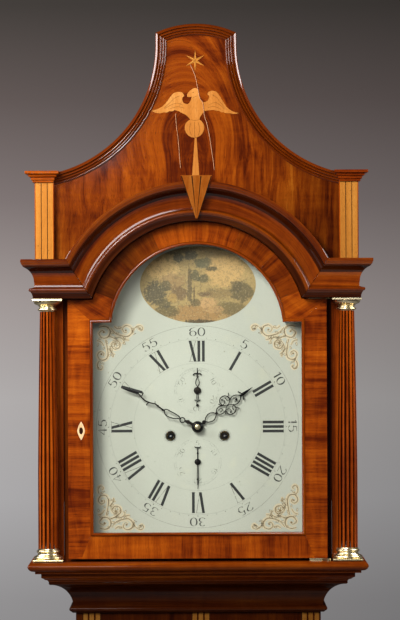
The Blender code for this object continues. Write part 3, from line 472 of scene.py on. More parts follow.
def pane():
    """Clear old glass: sight and light pass, and its faces mirror at a low angle."""
    look = Look("pane_glass")
    clear = look.node("BsdfTransparent", {"Color": (0.965, 0.975, 0.965, 1.0)})
    wave = look.noise(look.stretch(look.at, (9.0, 9.0, 5.0)), 1.0, 2.0)
    look.set("Base Color", (0.75, 0.80, 0.78, 1.0))
    look.set("Metallic", 1.0)
    look.set("Roughness", look.between(wave, 0.2, 0.8, 0.02, 0.05))
    look.bump(wave, 0.0006, 0.3)
    facing = look.node("LayerWeight", {"Blend": 0.5}).outputs["Facing"]
    mirrored = look.plus(look.times(look.math("POWER", facing, 5.0), 0.9), 0.022)
    mixed = look.node("MixShader", {0: mirrored, 1: clear.outputs[0], 2: look.shader.outputs[0]})
    look.tree.links.new(mixed.outputs[0], look.tree.nodes["Material Output"].inputs["Surface"])
    return look.material


def dial_paint():
    """Aged off-white oil paint: yellowed in patches, with foxing and hair cracks."""
    look = Look("dial_paint")
    base = look.mix(look.noise(look.at, 7.0, 3.0), (0.480, 0.493, 0.416), (0.553, 0.562, 0.480))
    stain = look.between(look.noise(look.at, 24.0, 4.0, 0.6), 0.55, 0.80)
    base = look.mix(look.times(stain, 0.35), base, (0.62, 0.61, 0.44))
    specks = look.node("TexVoronoi", {"Vector": look.at, "Scale": 85.0}).outputs["Distance"]
    few = look.between(look.noise(look.at, 38.0), 0.55, 0.65)
    speck = look.times(look.between(specks, 0.05, 0.11, 1.0, 0.0), few)
    base = look.mix(look.times(speck, 0.6), base, (0.22, 0.21, 0.13))
    net = look.node("TexVoronoi", {"Vector": look.at, "Scale": 120.0}, feature="DISTANCE_TO_EDGE").outputs[0]
    crack = look.between(net, 0.0, 0.035, 1.0, 0.0)
    base = look.mix(look.times(crack, 0.10), base, (0.30, 0.30, 0.22))
    look.set("Base Color", base)
    look.set("Roughness", look.between(look.noise(look.at, 60.0), 0.3, 0.7, 0.42, 0.60))
    look.bump(look.minus(look.noise(look.at, 240.0, 2.0), crack), 0.00006, 0.4)
    return look.material


def worn_ink(name, colour, wear_low, wear_high):
    """Painted marks that have rubbed away in places to the paint below."""
    look = Look(name)
    patches = look.noise(look.at, 210.0, 3.0, 0.65)
    share = look.between(patches, wear_low, wear_high)
    look.set("Base Color", look.mix(share, colour, (0.515, 0.528, 0.446)))
    look.set("Roughness", look.between(patches, 0.3, 0.7, 0.40, 0.60))
    return look.material


# ---------------------------------------------------------------- mesh building


class Form:
    """Collects the points, faces, grain coordinates and material numbers of one piece."""

    def __init__(self, mirror=1):
        self.points, self.faces, self.grain, self.slots = [], [], [], []
        self.slot = 0
        self.mirror = mirror

    def add(self, points, faces, grain=None, numbers=()):
        """Adds faces, with their material numbers where they differ from the form's own."""
        start = len(self.points)
        self.points += [(self.mirror * p[0], p[1], p[2]) for p in points]
        self.grain += list(grain) if grain else [(p[2], p[0], p[1]) for p in points]
        for face in faces:
            order = face if self.mirror > 0 else tuple(reversed(face))
            self.faces.append(tuple(start + i for i in order))
        self.slots += list(numbers) + [self.slot] * (len(faces) - len(numbers))

    def loft(self, rings, closed=False, grain_shift=0.0, across=True, slots=None):
        """A solid through rings of equal size: closed joins the last ring to the first.

        slots(ring, point) gives the material number of the face that starts at a ring's point.
        """
        count = len(rings[0])
        points, grain, faces = [], [], []
        travelled = 0.0
        for number, ring in enumerate(rings):
            if number:
                steps = [(Vector(a) - Vector(b)).length for a, b in zip(ring, rings[number - 1])]
                travelled += sum(steps) / count
            round_way = 0.0
            for i, point in enumerate(ring):
                if i:
                    round_way += (Vector(point) - Vector(ring[i - 1])).length
                points.append(tuple(point))
                entry = (travelled, round_way, 0.0) if across else (round_way, travelled, 0.0)
                grain.append((entry[0] + grain_shift, entry[1] + grain_shift, grain_shift))
        last = len(rings) if closed else len(rings) - 1
        numbers = []
        for a in range(last):
            b = (a + 1) % len(rings)
            for i in range(count):
                j = (i + 1) % count
                faces.append((a * count + i, a * count + j, b * count + j, b * count + i))
                numbers.append(slots(a, i) if slots else self.slot)
        if not closed:
            faces.append(tuple(reversed(range(count))))
            faces.append(tuple(range((len(rings) - 1) * count, len(rings) * count)))
        self.add(points, faces, grain, numbers)

    def prism(self, outline, front, thick, grain=None):
        """An upright slab with an outline in x and z and its front face at y = front."""
        count = len(outline)
        points = [(u, front, v) for u, v in outline] + [(u, front + thick, v) for u, v in outline]
        faces = [tuple(range(count)), tuple(reversed(range(count, 2 * count)))]
        for i in range(count):
            j = (i + 1) % count
            faces.append((j, i, count + i, count + j))
        self.add(points, faces, [grain(p) for p in points] if grain else None)

    def stroke(self, line, half, front, thick):
        """A raised line along points in x and z: half is half its width, or one for each point."""
        widths = half if isinstance(half, (list, tuple)) else [half] * len(line)
        rings = []
        for i, (u, v) in enumerate(line):
            before = line[max(i - 1, 0)]
            after = line[min(i + 1, len(line) - 1)]
            way = Vector((after[0] - before[0], after[1] - before[1])).normalized()
            side = Vector((way.y, -way.x)) * widths[i]
            a, b = (u - side.x, v - side.y), (u + side.x, v + side.y)
            rings.append([(a[0], front, a[1]), (b[0], front, b[1]),
                          (b[0], front + thick, b[1]), (a[0], front + thick, a[1])])
        self.loft(rings)

    def turned(self, profile, place, forward=False, steps=40, closed=False):
        """A turned solid. Profile points are (radius, height), bottom to top, and place is its foot."""
        rings = []
        for k in range(steps):
            a = 2 * math.pi * k / steps
            ring = []
            for radius, height in profile:
                u, v = radius * math.cos(a), radius * math.sin(a)
                spot = (u, -height, v) if forward else (u, v, height)
                ring.append(tuple(place[i] + spot[i] for i in range(3)))
            rings.append(ring)
        if not forward:
            rings.reverse()
        if closed:
            self.loft(rings, closed=True)
        else:
            self.lathe(rings)

    def lathe(self, rings):
        """Joins turned sections whose first and last points lie on the axis."""
        faces, points = [], [p for ring in rings for p in ring]
        total, count = len(rings), len(rings[0])
        for a in range(total):
            b = (a + 1) % total
            for i in range(count - 1):
                faces.append((a * count + i, a * count + i + 1, b * count + i + 1, b * count + i))
        self.add(points, faces)


def finish(name, form, looks, body, stands_for=(), angle=35.0, bevel=0.0, weld=True):
    """Makes the piece of a form, shades it, and lets it ride on its body."""
    mesh = bpy.data.meshes.new(name)
    mesh.from_pydata(form.points, [], form.faces)
    grain = mesh.attributes.new("grain", "FLOAT_VECTOR", "POINT")
    grain.data.foreach_set("vector", [c for g in form.grain for c in g])
    for look in looks if isinstance(looks, (list, tuple)) else [looks]:
        mesh.materials.append(look)
    for polygon, number in zip(mesh.polygons, form.slots):
        polygon.material_index = number
    if weld:
        bm = bmesh.new()
        bm.from_mesh(mesh)
        bmesh.ops.remove_doubles(bm, verts=bm.verts, dist=1e-6)
        bmesh.ops.recalc_face_normals(bm, faces=bm.faces)
        bm.to_mesh(mesh)
        bm.free()
    mesh.shade_smooth()
    mesh.set_sharp_from_angle(angle=math.radians(angle))
    made = linked(name, mesh)
    if bevel:
        soften(made, bevel)
    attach(made, body)
    if stands_for:
        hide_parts(*stands_for)


def refine(node, form, looks, angle=35.0, bevel=0.0):
    """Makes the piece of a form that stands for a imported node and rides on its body."""
    finish(node + "_fine", form, looks, name_body(node), (node,), angle, bevel)


def name_body(name):
    """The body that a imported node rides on."""
    bodies = frame["record"]["behaviour"]["bodies"]
    return next(body for body, nodes in bodies.items() if name in nodes)


def soften(thing, width):
    """Rounds a piece's arrises with a modifier."""
    rounding = thing.modifiers.new("worn_arrises", "BEVEL")
    rounding.width = width
    rounding.segments = 2
    rounding.limit_method = "ANGLE"
    rounding.angle_limit = math.radians(40)
    rounding.harden_normals = False


def outline(points, steps):
    """Points (u, v) or (u, v, bulge): a bulge bends the run that arrives there into an arc.

    The bulge is the tangent of a quarter of the arc's angle, and positive bends to the right.
    """
    made = [points[0][:2]]
    for point in points[1:]:
        end = Vector(point[:2])
        start = Vector(made[-1])
        if len(point) > 2 and point[2]:
            chord = end - start
            angle = 4 * math.atan(abs(point[2]))
            radius = chord.length / 2 / math.sin(angle / 2)
            side = Vector((chord.y, -chord.x)).normalized() * (1 if point[2] > 0 else -1)
            centre = (start + end) / 2 - side * radius * math.cos(angle / 2)
            first = math.atan2(start.y - centre.y, start.x - centre.x)
            turn = angle if point[2] > 0 else -angle
            for i in range(1, steps):
                a = first + turn * i / steps
                made.append((centre.x + radius * math.cos(a), centre.y + radius * math.sin(a)))
        made.append(tuple(end))
    return made


def arc(centre, radii, start, end, count):
    """Points of an elliptical arc, in degrees counted anticlockwise from +x."""
    ru, rv = radii if isinstance(radii, tuple) else (radii, radii)
    made = []
    for i in range(count + 1):
        a = math.radians(start + (end - start) * i / count)
        made.append((centre[0] + ru * math.cos(a), centre[1] + rv * math.sin(a)))
    return made


def turned_about(points, pivot, angle):
    """Local points (across, out) placed about a pivot, turned clockwise by an angle."""
    c, s = math.cos(angle), math.sin(angle)
    return [(pivot[0] + u * c + v * s, pivot[1] - u * s + v * c) for u, v in points]


def mirrored(points):
    """The outline's mirror image on the other side, in an order that keeps it facing the front."""
    return [(-x, z) for x, z in reversed(points)]


def rectangle(left, foot, right, head):
    return [(left, foot), (right, foot), (right, head), (left, head)]


def arched(half, bottom, shoulder, radius):
    """Points from the right foot round to the left foot: uprights, square shoulders and a round arch."""
    rise = math.degrees(math.asin((shoulder - ARCH_Z) / radius))
    top = arc((0.0, ARCH_Z), radius, rise, 180 - rise, 48)
    return [(half, bottom), (half, shoulder), *top, (-half, shoulder), (-half, bottom)]


def arch_rings(section, centre_z, count):
    """Sections round an arch: (radius, half width where the arch ends, y) for each line of the moulding."""
    rings = []
    for i in range(count + 1):
        ring = []
        for radius, half, y in section:
            end = math.acos(half / radius)
            angle = end + (math.pi - 2 * end) * i / count
            ring.append((radius * math.cos(angle), y, centre_z + radius * math.sin(angle)))
        rings.append(ring)
    return rings


def sides(make):
    """Makes a piece for the left side and its mirror image for the right side."""
    make("left", -1)
    make("right", 1)


# ---------------------------------------------------------------- case mouldings


def moulding_round(node, profile, half, front, tones=MAHOGANY, shift=0.0):
    """A moulding round a case's sides and front, mitred at both corners, for profile points (out, rise)."""
    z = low(node).z
    form = Form()
    rings = []
    for side, at_front in ((-1, False), (-1, True), (1, True), (1, False)):
        rings.append([(side * (half + out), front - out if at_front else BACK, z + rise)
                      for out, rise in profile])
    form.loft(rings, grain_shift=shift)
    look = wood(node + "_wood", tones=tones, figure=0.6, shift=shift)
    refine(node, form, look, angle=28, bevel=0.0003)


def case_mouldings():
    """The plinth's, throat's and hood base's mouldings, with full rounds and coves."""
    top = tall("plinth_moulding")
    profile = outline([(GAP, 0.0), (0.0455, 0.0), (0.046, 0.0005), (0.046, 0.0055), (0.0405, 0.0085, 0.2),
                       (0.0395, 0.0100), (0.0385, 0.0100), (0.0165, 0.0315, -0.36), (0.0160, 0.0335),
                       (0.0125, 0.0350), (0.0120, 0.0400, 0.35), (0.0075, 0.0435, 0.3), (0.0055, 0.0440),
                       (0.0050, top), (GAP, top)], 10)
    moulding_round("plinth_moulding", profile, TRUNK_HALF, TRUNK_FRONT, shift=3.1)
    top = tall("throat_moulding")
    profile = outline([(GAP, 0.0), (0.0045, 0.0), (0.0055, 0.0010), (0.0072, 0.0022), (0.0068, 0.0085, 0.75),
                       (0.0040, 0.0092), (0.0036, 0.0100), (0.0365, 0.0418, -0.40), (0.0372, 0.0425),
                       (0.0380, 0.0430), (0.0380, top), (GAP, top)], 12)
    # The throat moulding, under the hood, takes the shaded tones: painted shade.
    moulding_round("throat_moulding", profile, TRUNK_HALF, TRUNK_FRONT, SHADED_MAHOGANY, 5.3)
    top = tall("hood_base_moulding")
    profile = outline([(-0.0445, 0.0), (-0.0090, 0.0), (-0.0085, 0.0004), (-0.0040, 0.0030, -0.35),
                       (-0.0012, 0.0052), (0.0012, 0.0062), (0.0017, 0.0068), (0.0017, 0.0118),
                       (0.0100, 0.0122), (0.0103, 0.0126), (0.0103, 0.0155), (0.0135, 0.0160),
                       (0.0150, 0.0162), (0.0208, 0.0222, 0.25), (0.0148, 0.0285, 0.35),
                       (0.0100, top), (-0.0445, top)], 10)
    # The hood base moulding faces down under the hood and takes the dark tones as painted shade.
    moulding_round("hood_base_moulding", profile, HOOD_HALF, HOOD_FRONT, DARK_MAHOGANY, 7.7)


CORNICE_PROFILE = outline([
    (GAP, 0.0), (0.0112, 0.0), (0.0118, 0.0005), (0.0118, 0.0036), (0.0123, 0.0042), (0.0142, 0.0085, -0.12),
    (0.0150, 0.0098), (0.0174, 0.0116, 0.35), (0.0160, 0.0146, 0.55), (0.0108, 0.0158),
    (0.0096, 0.0166), (0.0094, 0.0182), (0.0100, 0.0240, -0.10), (0.0238, 0.0448, -0.30), (0.0244, 0.0455),
    (0.0256, 0.0457), (0.0258, 0.0470), (0.0282, 0.0512, 0.20), (0.0290, 0.0520), (0.0290, 0.0560),
    (0.0285, 0.0565), (GAP, 0.0565)], 8)


def cornice_looks():
    """Polished faces in dark tones, a lighter copy painted as light on the cove's sweep, and near-black
    painted shade in the recesses.
    """
    return [wood("cornice_wood", tones=DARK_MAHOGANY, figure=0.5, shift=2.2, gloss=1.2),
            wood("cornice_cove_painted_light", tones=DEEP_MAHOGANY, figure=0.5, shift=2.2, gloss=1.0),
            wood("cornice_recess_painted_shade", tones=SHADED_MAHOGANY, figure=0.5, shift=2.2, gloss=0.8)]


def cornice_tone(ring, point):
    """The number of the look on the face that starts at a point of the profile."""
    # Look 1, the cove's sweep, is painted light; look 2, under the top fascia and on the lowest fascia, is
    # painted shade.
    height = CORNICE_PROFILE[point][1]
    if 0.018 <= height < 0.036:
        return 1
    return 2 if 0.036 <= height < 0.047 or height < 0.0085 else 0


def mitre_x(height):
    """Where the level cornice meets the arched one, for a line of the moulding at that height."""
    z = CORNICE_BOTTOM + height
    return math.sqrt((CORNICE_R + height) ** 2 - (z - ARCH_Z) ** 2)


def cornice_y(out):
    """Front of the cornice for a line of its profile; its back edge lies on the tympanum."""
    return TYMPANUM_FRONT - GAP if out == GAP else HOOD_FRONT - out


def cornice():
    """Both cornice blocks with their returns, and the arch mitred between them."""

    def block(word, side):
        form = Form(side)
        back, corner, mitre = [], [], []
        for out, height in CORNICE_PROFILE:
            z = CORNICE_BOTTOM + height
            back.append((HOOD_HALF + out, BACK, z))
            corner.append((HOOD_HALF + out, cornice_y(out), z))
            mitre.append((mitre_x(height), cornice_y(out), z))
        form.loft([back, corner, mitre], grain_shift=1.3 + side, slots=cornice_tone)
        refine(f"cornice_{word}", form, cornice_looks(), angle=28, bevel=0.0002)

    sides(block)
    form = Form()
    section = [(CORNICE_R + height, mitre_x(height) - GAP, cornice_y(out)) for out, height in CORNICE_PROFILE]
    form.loft(arch_rings(section, ARCH_Z, 96), grain_shift=4.9, slots=cornice_tone)
    refine("cornice_arch", form, cornice_looks(), angle=28)


# The reeded moulding's section: (across, out)
REEDS = outline([(0.0, GAP), (0.0, 0.0058), (0.0036, 0.0092, -0.25), (0.0040, 0.0090), (0.0043, 0.0064),
                 (0.0047, 0.0050), (0.0078, 0.0075, -0.25), (0.0081, 0.0073), (0.0084, 0.0050),
                 (0.0087, 0.0038), (0.0114, 0.0060, -0.25), (0.0117, 0.0058), (0.0120, 0.0040),
                 (0.0122, 0.0027), (0.0147, 0.0046, -0.25), (0.0150, 0.0044), (0.0152, 0.0018),
                 (0.0165, 0.0014), (0.0165, GAP)], 5)
SWEEP_END = 0.2046            # the mouldings run out under the caps, to the pilasters


def pediment_mouldings():
    """Reeded mouldings up the two concave edges and across the crown, mitred together."""
    crown_z = CROWN_TOP - CROWN_R
    look = wood("reeded_wood", tones=DARK_MAHOGANY, figure=0.3, shift=6.1, gloss=1.6, contrast=0.6)

    def mitre_z(across):
        return crown_z + math.sqrt((CROWN_R - across) ** 2 - (CROWN_HALF - across) ** 2)

    def reeded(word, side):
        form = Form(side)
        rings = []
        count = 40
        for i in range(count + 1):
            ring = []
            for across, out in REEDS:
                radius = SWEEP_R + across
                angle = -math.acos((SWEEP_X - SWEEP_END) / radius) * (1 - i / count)
                x = SWEEP_X - radius * math.cos(angle)
                ring.append((x, TYMPANUM_FRONT - out, SWEEP_Z + radius * math.sin(angle)))
            rings.append(ring)
        rings.append([(CROWN_HALF - across, TYMPANUM_FRONT - out, mitre_z(across) - GAP)
                      for across, out in REEDS])
        form.loft(rings)
        refine(f"pediment_moulding_{word}", form, look, angle=30)

    sides(reeded)
    form = Form()
    section = [(CROWN_R - across, CROWN_HALF - across, TYMPANUM_FRONT - out) for across, out in REEDS]
    form.loft(arch_rings(section, crown_z, 32))
    refine("crown_moulding", form, look, angle=30)


def pediment_caps():
    """The stepped caps: three fascias with small rounded arrises, returned to the back."""
    # Each step of a cap: inner and outer x, front y, and height
    steps = ((0.2050, 0.2345, -0.1120, 0.0000), (0.2050, 0.2350, -0.1125, 0.0005),
             (0.2050, 0.2350, -0.1125, 0.0028), (0.2035, 0.2372, -0.1147, 0.0040),
             (0.2035, 0.2372, -0.1147, 0.0072), (0.2010, 0.2405, -0.1180, 0.0085),
             (0.2010, 0.2408, -0.1183, 0.0112), (0.1980, 0.2442, -0.1217, 0.0122),
             (0.1976, 0.2455, -0.1230, 0.0126), (0.1976, 0.2460, -0.1235, 0.0132),
             (0.1976, 0.2460, -0.1235, 0.0158), (0.1976, 0.2452, -0.1227, 0.0166))

    def cap(word, side):
        form = Form(side)
        rings = []
        for inner, outer, front, rise in steps:
            z = CAP_BOTTOM + rise
            rings.append([(inner, BACK, z), (inner, front, z), (outer, front, z), (outer, BACK, z)])
        form.loft(rings, across=False)
        look = wood("cap_wood", "x", figure=0.4, shift=8.8)
        refine(f"pediment_cap_{word}", form, look, angle=20, bevel=0.0002)

    sides(cap)


# ---------------------------------------------------------------- columns

FLUTES = 14
FILLET = 0.46                 # share of each flute's pitch that its fillet takes
FLUTE_STEPS = 8
SHAFT_FOOT, SHAFT_HEAD = 0.0145, 0.0108    # radii
FLUTE_DEPTH = 0.0030
FLUTE_END = 0.004             # the run over which a flute comes out to the surface


def flute_ring(radius, depth, z, side):
    """One section of the shaft: fillets on the circle and round flutes cut between them."""
    ring = []
    cuts = [FILLET + (1 - FILLET) * k / FLUTE_STEPS for k in range(1, FLUTE_STEPS)]
    for i in range(FLUTES):
        for part in (0.0, FILLET, *cuts):
            sink = max(0.0, (part - FILLET) / (1 - FILLET))
            cut = depth * math.sqrt(max(0.0, 1 - (2 * sink - 1) ** 2)) if part > FILLET else 0.0
            a = 2 * math.pi * (i + part - FILLET / 2) / FLUTES - math.pi / 2
            ring.append((side * COLUMN_X + (radius - cut) * math.cos(a),
                         COLUMN_Y + (radius - cut) * math.sin(a), z))
    return ring


def columns():
    """Tapered fluted shafts between turned brass capitals and bases."""

    def column(word, side):
        node = f"column_{word}"
        foot, height = low(node).z, tall(node)
        form = Form()
        rings = []
        count = 40
        for i in range(count + 1):
            t = i / count
            radius = SHAFT_FOOT - (SHAFT_FOOT - SHAFT_HEAD) * max(0.0, (t - 0.30) / 0.70) ** 1.35
            fade = min(1.0, math.sqrt(min(t, 1 - t) * height / FLUTE_END))
            depth = FLUTE_DEPTH * radius / SHAFT_FOOT * fade
            rings.append(flute_ring(radius, depth, foot + t * height, side))
        # Fillets in the lighter copy of the wood as painted highlight, and the flutes' grooves in the shaded
        # tones as painted shade.
        form.loft(rings, grain_shift=side * 2.0, slots=lambda ring, point: 0 if point % 9 in (0, 8) else 1)
        looks = [wood("column_wood_painted_light", "z", PAINTED_LIGHT_MAHOGANY, figure=0.5, shift=1.9, gloss=1.2),
                 wood("flute_painted_shade", "z", SHADED_MAHOGANY, figure=0.5, shift=1.9, gloss=0.4)]
        refine(node, form, looks, angle=50)
        base(f"column_base_{word}", side)
        capital(f"capital_{word}", side)

    sides(column)


def column_brass(node, side, profile, half, steps):
    """A column's turned brass with its square part, given as (how much wider, height) from foot to top."""
    x, y, z = side * COLUMN_X, COLUMN_Y, low(node).z
    form = Form()
    form.turned(outline(profile, 8), (x, y, z), steps=64)
    rings = []
    for grow, rise in steps:
        h = half + grow
        rings.append([(u, v, z + rise) for u, v in rectangle(x - h, y - h, x + h, y + h)])
    form.loft(rings)
    refine(node, form, metal("pale_brass"), angle=40)


def base(node, side):
    """A brass base: square plinth, torus, fillet, scotia, upper torus and the shaft's ring."""
    top = tall(node)
    profile = [(0.0, 0.0026), (0.0188, 0.0026), (0.0190, 0.0080, 0.75), (0.0176, 0.0085), (0.0172, 0.0092),
               (0.0150, 0.0122, -0.38), (0.0153, 0.0130), (0.0155, 0.0168, 0.75), (0.0149, 0.0172),
               (0.0146, top), (0.0, top)]
    plinth = ((-0.0003, 0.0), (0.0, 0.0004), (0.0, 0.0026), (-0.0004, 0.0031))
    column_brass(node, side, profile, 0.0216, plinth)


def capital(node, side):
    """A brass capital: necking, astragal, spreading echinus and a thin square abacus."""
    top = tall(node)
    profile = [(0.0, 0.0), (0.0112, 0.0), (0.0113, 0.0009), (0.0124, 0.0012), (0.0124, 0.0044, 0.85),
               (0.0114, 0.0047), (0.0113, 0.0066), (0.0122, 0.0070), (0.0126, 0.0078),
               (0.0150, 0.0094, -0.22), (0.0158, 0.0098), (0.0196, 0.0136, 0.30), (0.0196, top - 0.0026),
               (0.0, top - 0.0026)]
    abacus = ((-0.0006, top - 0.0032), (0.0, top - 0.0027), (0.0, top - 0.0004), (-0.0003, top))
    column_brass(node, side, profile, 0.0211, abacus)


# ---------------------------------------------------------------- pediment: pilasters, keystone and inlay

PROUD = 0.00025               # how far inlay and veneer stand above the ground wood


def inlay(form, edge, front, grain=None):
    """A piece of inlay or banding that stands a hair proud of the wood at front."""
    form.prism(edge, front - PROUD, 2 * PROUD, grain)


def pilasters():
    """Satinwood corner pilasters: three pale bands between dark strings and mahogany edges."""
    edge, string, band = 0.0012, 0.0011, 0.0076
    widths = ((edge, 0), (band, 1), (string, 2), (band, 1), (string, 2), (band, 1))

    def pilaster(word, side):
        node = f"pediment_pilaster_{word}"
        near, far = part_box(node)
        inner, outer = sorted((abs(near.x), abs(far.x)))
        across, numbers = [inner], []
        for width, number in widths:
            across.append(across[-1] + width)
            numbers.append(number)
        across.append(outer)
        numbers.append(0)
        rings = []
        for z in (near.z, far.z):
            rings.append([(x, near.y, z) for x in across] + [(outer, far.y, z), (inner, far.y, z)])
        form = Form(side)
        form.loft(rings, slots=lambda ring, i: numbers[i] if i < len(numbers) else 0)
        # The right pilaster's satinwood is darker than the left's: painted shade for light falling off to the
        # right.
        looks = [wood("pilaster_edge", "z", figure=0.3, shift=4.0),
                 satinwood(word, 0.92 if side < 0 else 0.66), stringing()]
        refine(node, form, looks, angle=20)
        nail_holes(word, side, near)

    sides(pilaster)


def nail_holes(word, side, near):
    """Old filled nail holes in the pilaster's bands."""
    form = Form()
    spots = ((0.2120, 0.012), (0.2225, 0.047), (0.2140, 0.083), (0.2270, 0.019), (0.2205, 0.096))
    for across, rise in spots:
        form.prism(arc((side * across, near.z + rise), 0.0005, 0, 315, 7), near.y - 0.00008, 0.0002)
    finish(f"pilaster_nail_holes_{word}", form, stringing(), "hood")


def keystone():
    """The tapered keystone: pale wedges between dark strings, with a pale fillet across its top."""
    near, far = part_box("keystone")
    tip_half, tip_front = 0.0015, -0.1220
    shares = (-1.0, -0.93, -0.33, -0.25, 0.25, 0.33, 0.93, 1.0)
    numbers = (2, 1, 2, 1, 2, 1, 2)
    fillet = 0.0011
    rings = []
    for drop in (0.0, fillet, far.z - near.z):
        t = drop / (far.z - near.z)
        half = far.x + (tip_half - far.x) * t
        front = near.y + (tip_front - near.y) * t
        ring = [(share * half, front, far.z - drop) for share in shares]
        rings.append(ring + [(half, far.y, far.z - drop), (-half, far.y, far.z - drop)])
    rings.reverse()

    def slots(ring, i):
        if i >= len(numbers):
            return 0
        return 1 if ring == 1 else numbers[i]

    form = Form()
    form.loft(rings, slots=slots)
    tones = tinted(SATINWOOD, 0.40, 0.25, 0.15)
    looks = [wood("keystone_side", "z", figure=0.3, shift=6.6),
             wood("keystone_band", "z", tones, figure=0.6, shift=5.2, contrast=1.6), stringing()]
    refine("keystone", form, looks, angle=20)


def smooth(points, steps=5):
    """A soft curve through points, both ends included."""
    made = []
    last = len(points) - 1
    for i in range(last):
        a, b = Vector(points[max(i - 1, 0)]), Vector(points[i])
        c, d = Vector(points[i + 1]), Vector(points[min(i + 2, last)])
        for k in range(steps):
            t = k / steps
            bend = (2 * a - 5 * b + 4 * c - d) * t * t + (3 * b - a - 3 * c + d) * t ** 3
            made.append(tuple(0.5 * (2 * b + (c - a) * t + bend)))
    made.append(tuple(points[last]))
    return made


def millimetres(points, centre, turn=0.0):
    """Points given in millimetres (across, up) about a centre, turned clockwise by an angle."""
    return turned_about([(0.001 * u, 0.001 * v) for u, v in points], centre, turn)


def star():
    """A six-pointed star of split kites, one half of each pale and the other shaded."""
    centre = (-0.0012, 2.3872)
    form = Form()
    for k in range(6):
        turn = math.radians(60 * k)
        for number, side in ((0, 1), (1, -1)):
            form.slot = number
            kite = [(0.05 * side, 0.3), (1.7 * side, 3.0), (0.05 * side, 15.4)]
            if side < 0:
                kite.reverse()
            inlay(form, millimetres(kite, centre, turn), TYMPANUM_FRONT)
    looks = [wood("star_pale", "z", tinted(SATINWOOD, 0.85), figure=0.3, shift=2.0, gloss=0.3),
             wood("star_shaded", "z", tinted(SATINWOOD, 0.55), figure=0.3, shift=2.4, gloss=0.3)]
    finish("inlaid_star", form, looks, "hood", weld=False)


EAGLE_CENTRE = (0.0, 2.330)
# The eagle's outline in millimetres from its centre, clockwise from the beak, in runs that each go on
# from the end of the run before; corners where runs meet
EAGLE_RUNS = (
    ((-12.8, 8.6), (-9.6, 13.1), (-3.4, 17.4), (1.4, 17.0), (3.8, 13.0), (4.0, 7.3), (7.4, -0.4)),
    ((10.2, -2.6), (14.9, -1.4), (18.2, 2.0), (18.7, 6.3), (16.2, 8.5)),
    ((17.3, 11.1), (20.6, 13.1), (25.3, 13.6), (30.0, 11.6), (33.8, 6.3), (38.5, -1.4), (43.2, -9.1),
     (48.8, -13.9), (54.5, -16.8), (61.5, -18.6)),
    ((55.4, -19.6), (51.0, -19.4), (46.9, -18.4)),
    ((43.0, -18.6), (39.4, -17.0)),
    ((36.0, -17.0), (32.8, -15.2)),
    ((29.0, -15.2), (25.3, -13.9), (17.8, -14.4), (13.0, -15.3), (10.2, -17.7), (6.5, -22.5),
     (4.4, -27.4)),
    ((8.2, -30.5), (11.2, -35.5), (11.0, -42.5), (6.8, -49.8), (0.4, -53.4)),
    ((-6.4, -53.0), (-12.4, -49.2), (-16.2, -42.2), (-15.6, -34.4), (-11.6, -29.4), (-8.2, -27.8)),
    ((-11.0, -24.4), (-15.2, -20.6), (-19.9, -18.2), (-25.6, -15.3), (-31.2, -13.6)),
    ((-34.0, -15.4), (-38.5, -15.2)),
    ((-42.0, -17.2), (-46.3, -17.0)),
    ((-52.9, -18.4), (-59.5, -17.0), (-64.6, -14.8)),
    ((-59.5, -13.4), (-53.8, -11.5), (-48.2, -8.1), (-42.5, -2.3), (-36.9, 5.4), (-32.2, 10.2),
     (-26.5, 12.1), (-20.9, 11.6), (-18.1, 9.2), (-17.1, 6.3)),
    ((-19.6, 3.9), (-19.9, 0.5), (-18.0, -3.3), (-13.3, -5.2), (-9.6, -3.3), (-7.2, 1.5), (-6.3, 5.4)),
    ((-9.4, 4.8), (-12.4, 5.2)))
# Engraved lines: wing feathers, the tail's top edge, the neck and the tail's feathers
EAGLE_LINES = (
    ((-19.0, -6.5), (-27.0, -4.0), (-35.0, -6.0), (-45.0, -11.5)),
    ((-17.0, -11.0), (-27.0, -9.0), (-38.0, -12.0)),
    ((-24.0, 6.5), (-31.0, 3.0), (-38.0, -3.5), (-46.0, -11.0)),
    ((19.0, -6.5), (27.0, -3.0), (34.0, -6.5), (42.0, -13.5)),
    ((17.0, -10.5), (26.0, -9.0), (36.0, -13.0)),
    ((23.0, 8.0), (29.5, 4.0), (36.0, -4.5), (45.0, -14.0)),
    ((-6.8, -27.6), (-2.0, -29.0), (4.0, -27.6)), ((-5.0, 3.0), (-1.5, 5.5), (2.5, 6.5)),
    ((-7.0, -50.0), (-9.5, -42.0), (-7.5, -32.0)), ((-2.5, -52.0), (-2.5, -42.0), (-2.3, -31.0)),
    ((2.5, -51.0), (5.0, -42.0), (3.0, -32.0)))


def eagle():
    """The inlaid eagle with spread wings, its round tail, and the spike below it."""
    front = TYMPANUM_FRONT - PROUD
    edge = []
    start = EAGLE_RUNS[-1][-1]
    for run in EAGLE_RUNS:
        edge += smooth((start, *run), 4)[:-1]
        start = run[-1]
    form = Form()
    spike = [(-2.1, -52.8), (0.3, -52.8), (4.3, -110.8), (-6.4, -110.8)]
    for shape in (edge, spike):
        inlay(form, millimetres(shape, EAGLE_CENTRE), TYMPANUM_FRONT)
    pale = wood("eagle_wood", "z", tinted(SATINWOOD, 0.80, 0.76, 0.90), figure=0.6, shift=7.0, gloss=0.4)
    finish("inlaid_eagle", form, pale, "hood", weld=False)
    form = Form()
    for line in EAGLE_LINES:
        form.stroke(millimetres(smooth(line), EAGLE_CENTRE), 0.00022, front - 0.00005, 0.0001)
    rim = millimetres(edge + edge[:1], EAGLE_CENTRE)
    form.stroke(rim, 0.00016, front + 0.00003, 0.0001)
    form.prism(arc((-0.0042, 2.3415), 0.0007, 0, 315, 7), front - 0.00006, 0.0001)
    shade = wood("eagle_shading", "z", tinted(SATINWOOD, 0.22), figure=0.2, shift=1.0, gloss=0.2)
    finish("eagle_engraving", form, shade, "hood", weld=False)


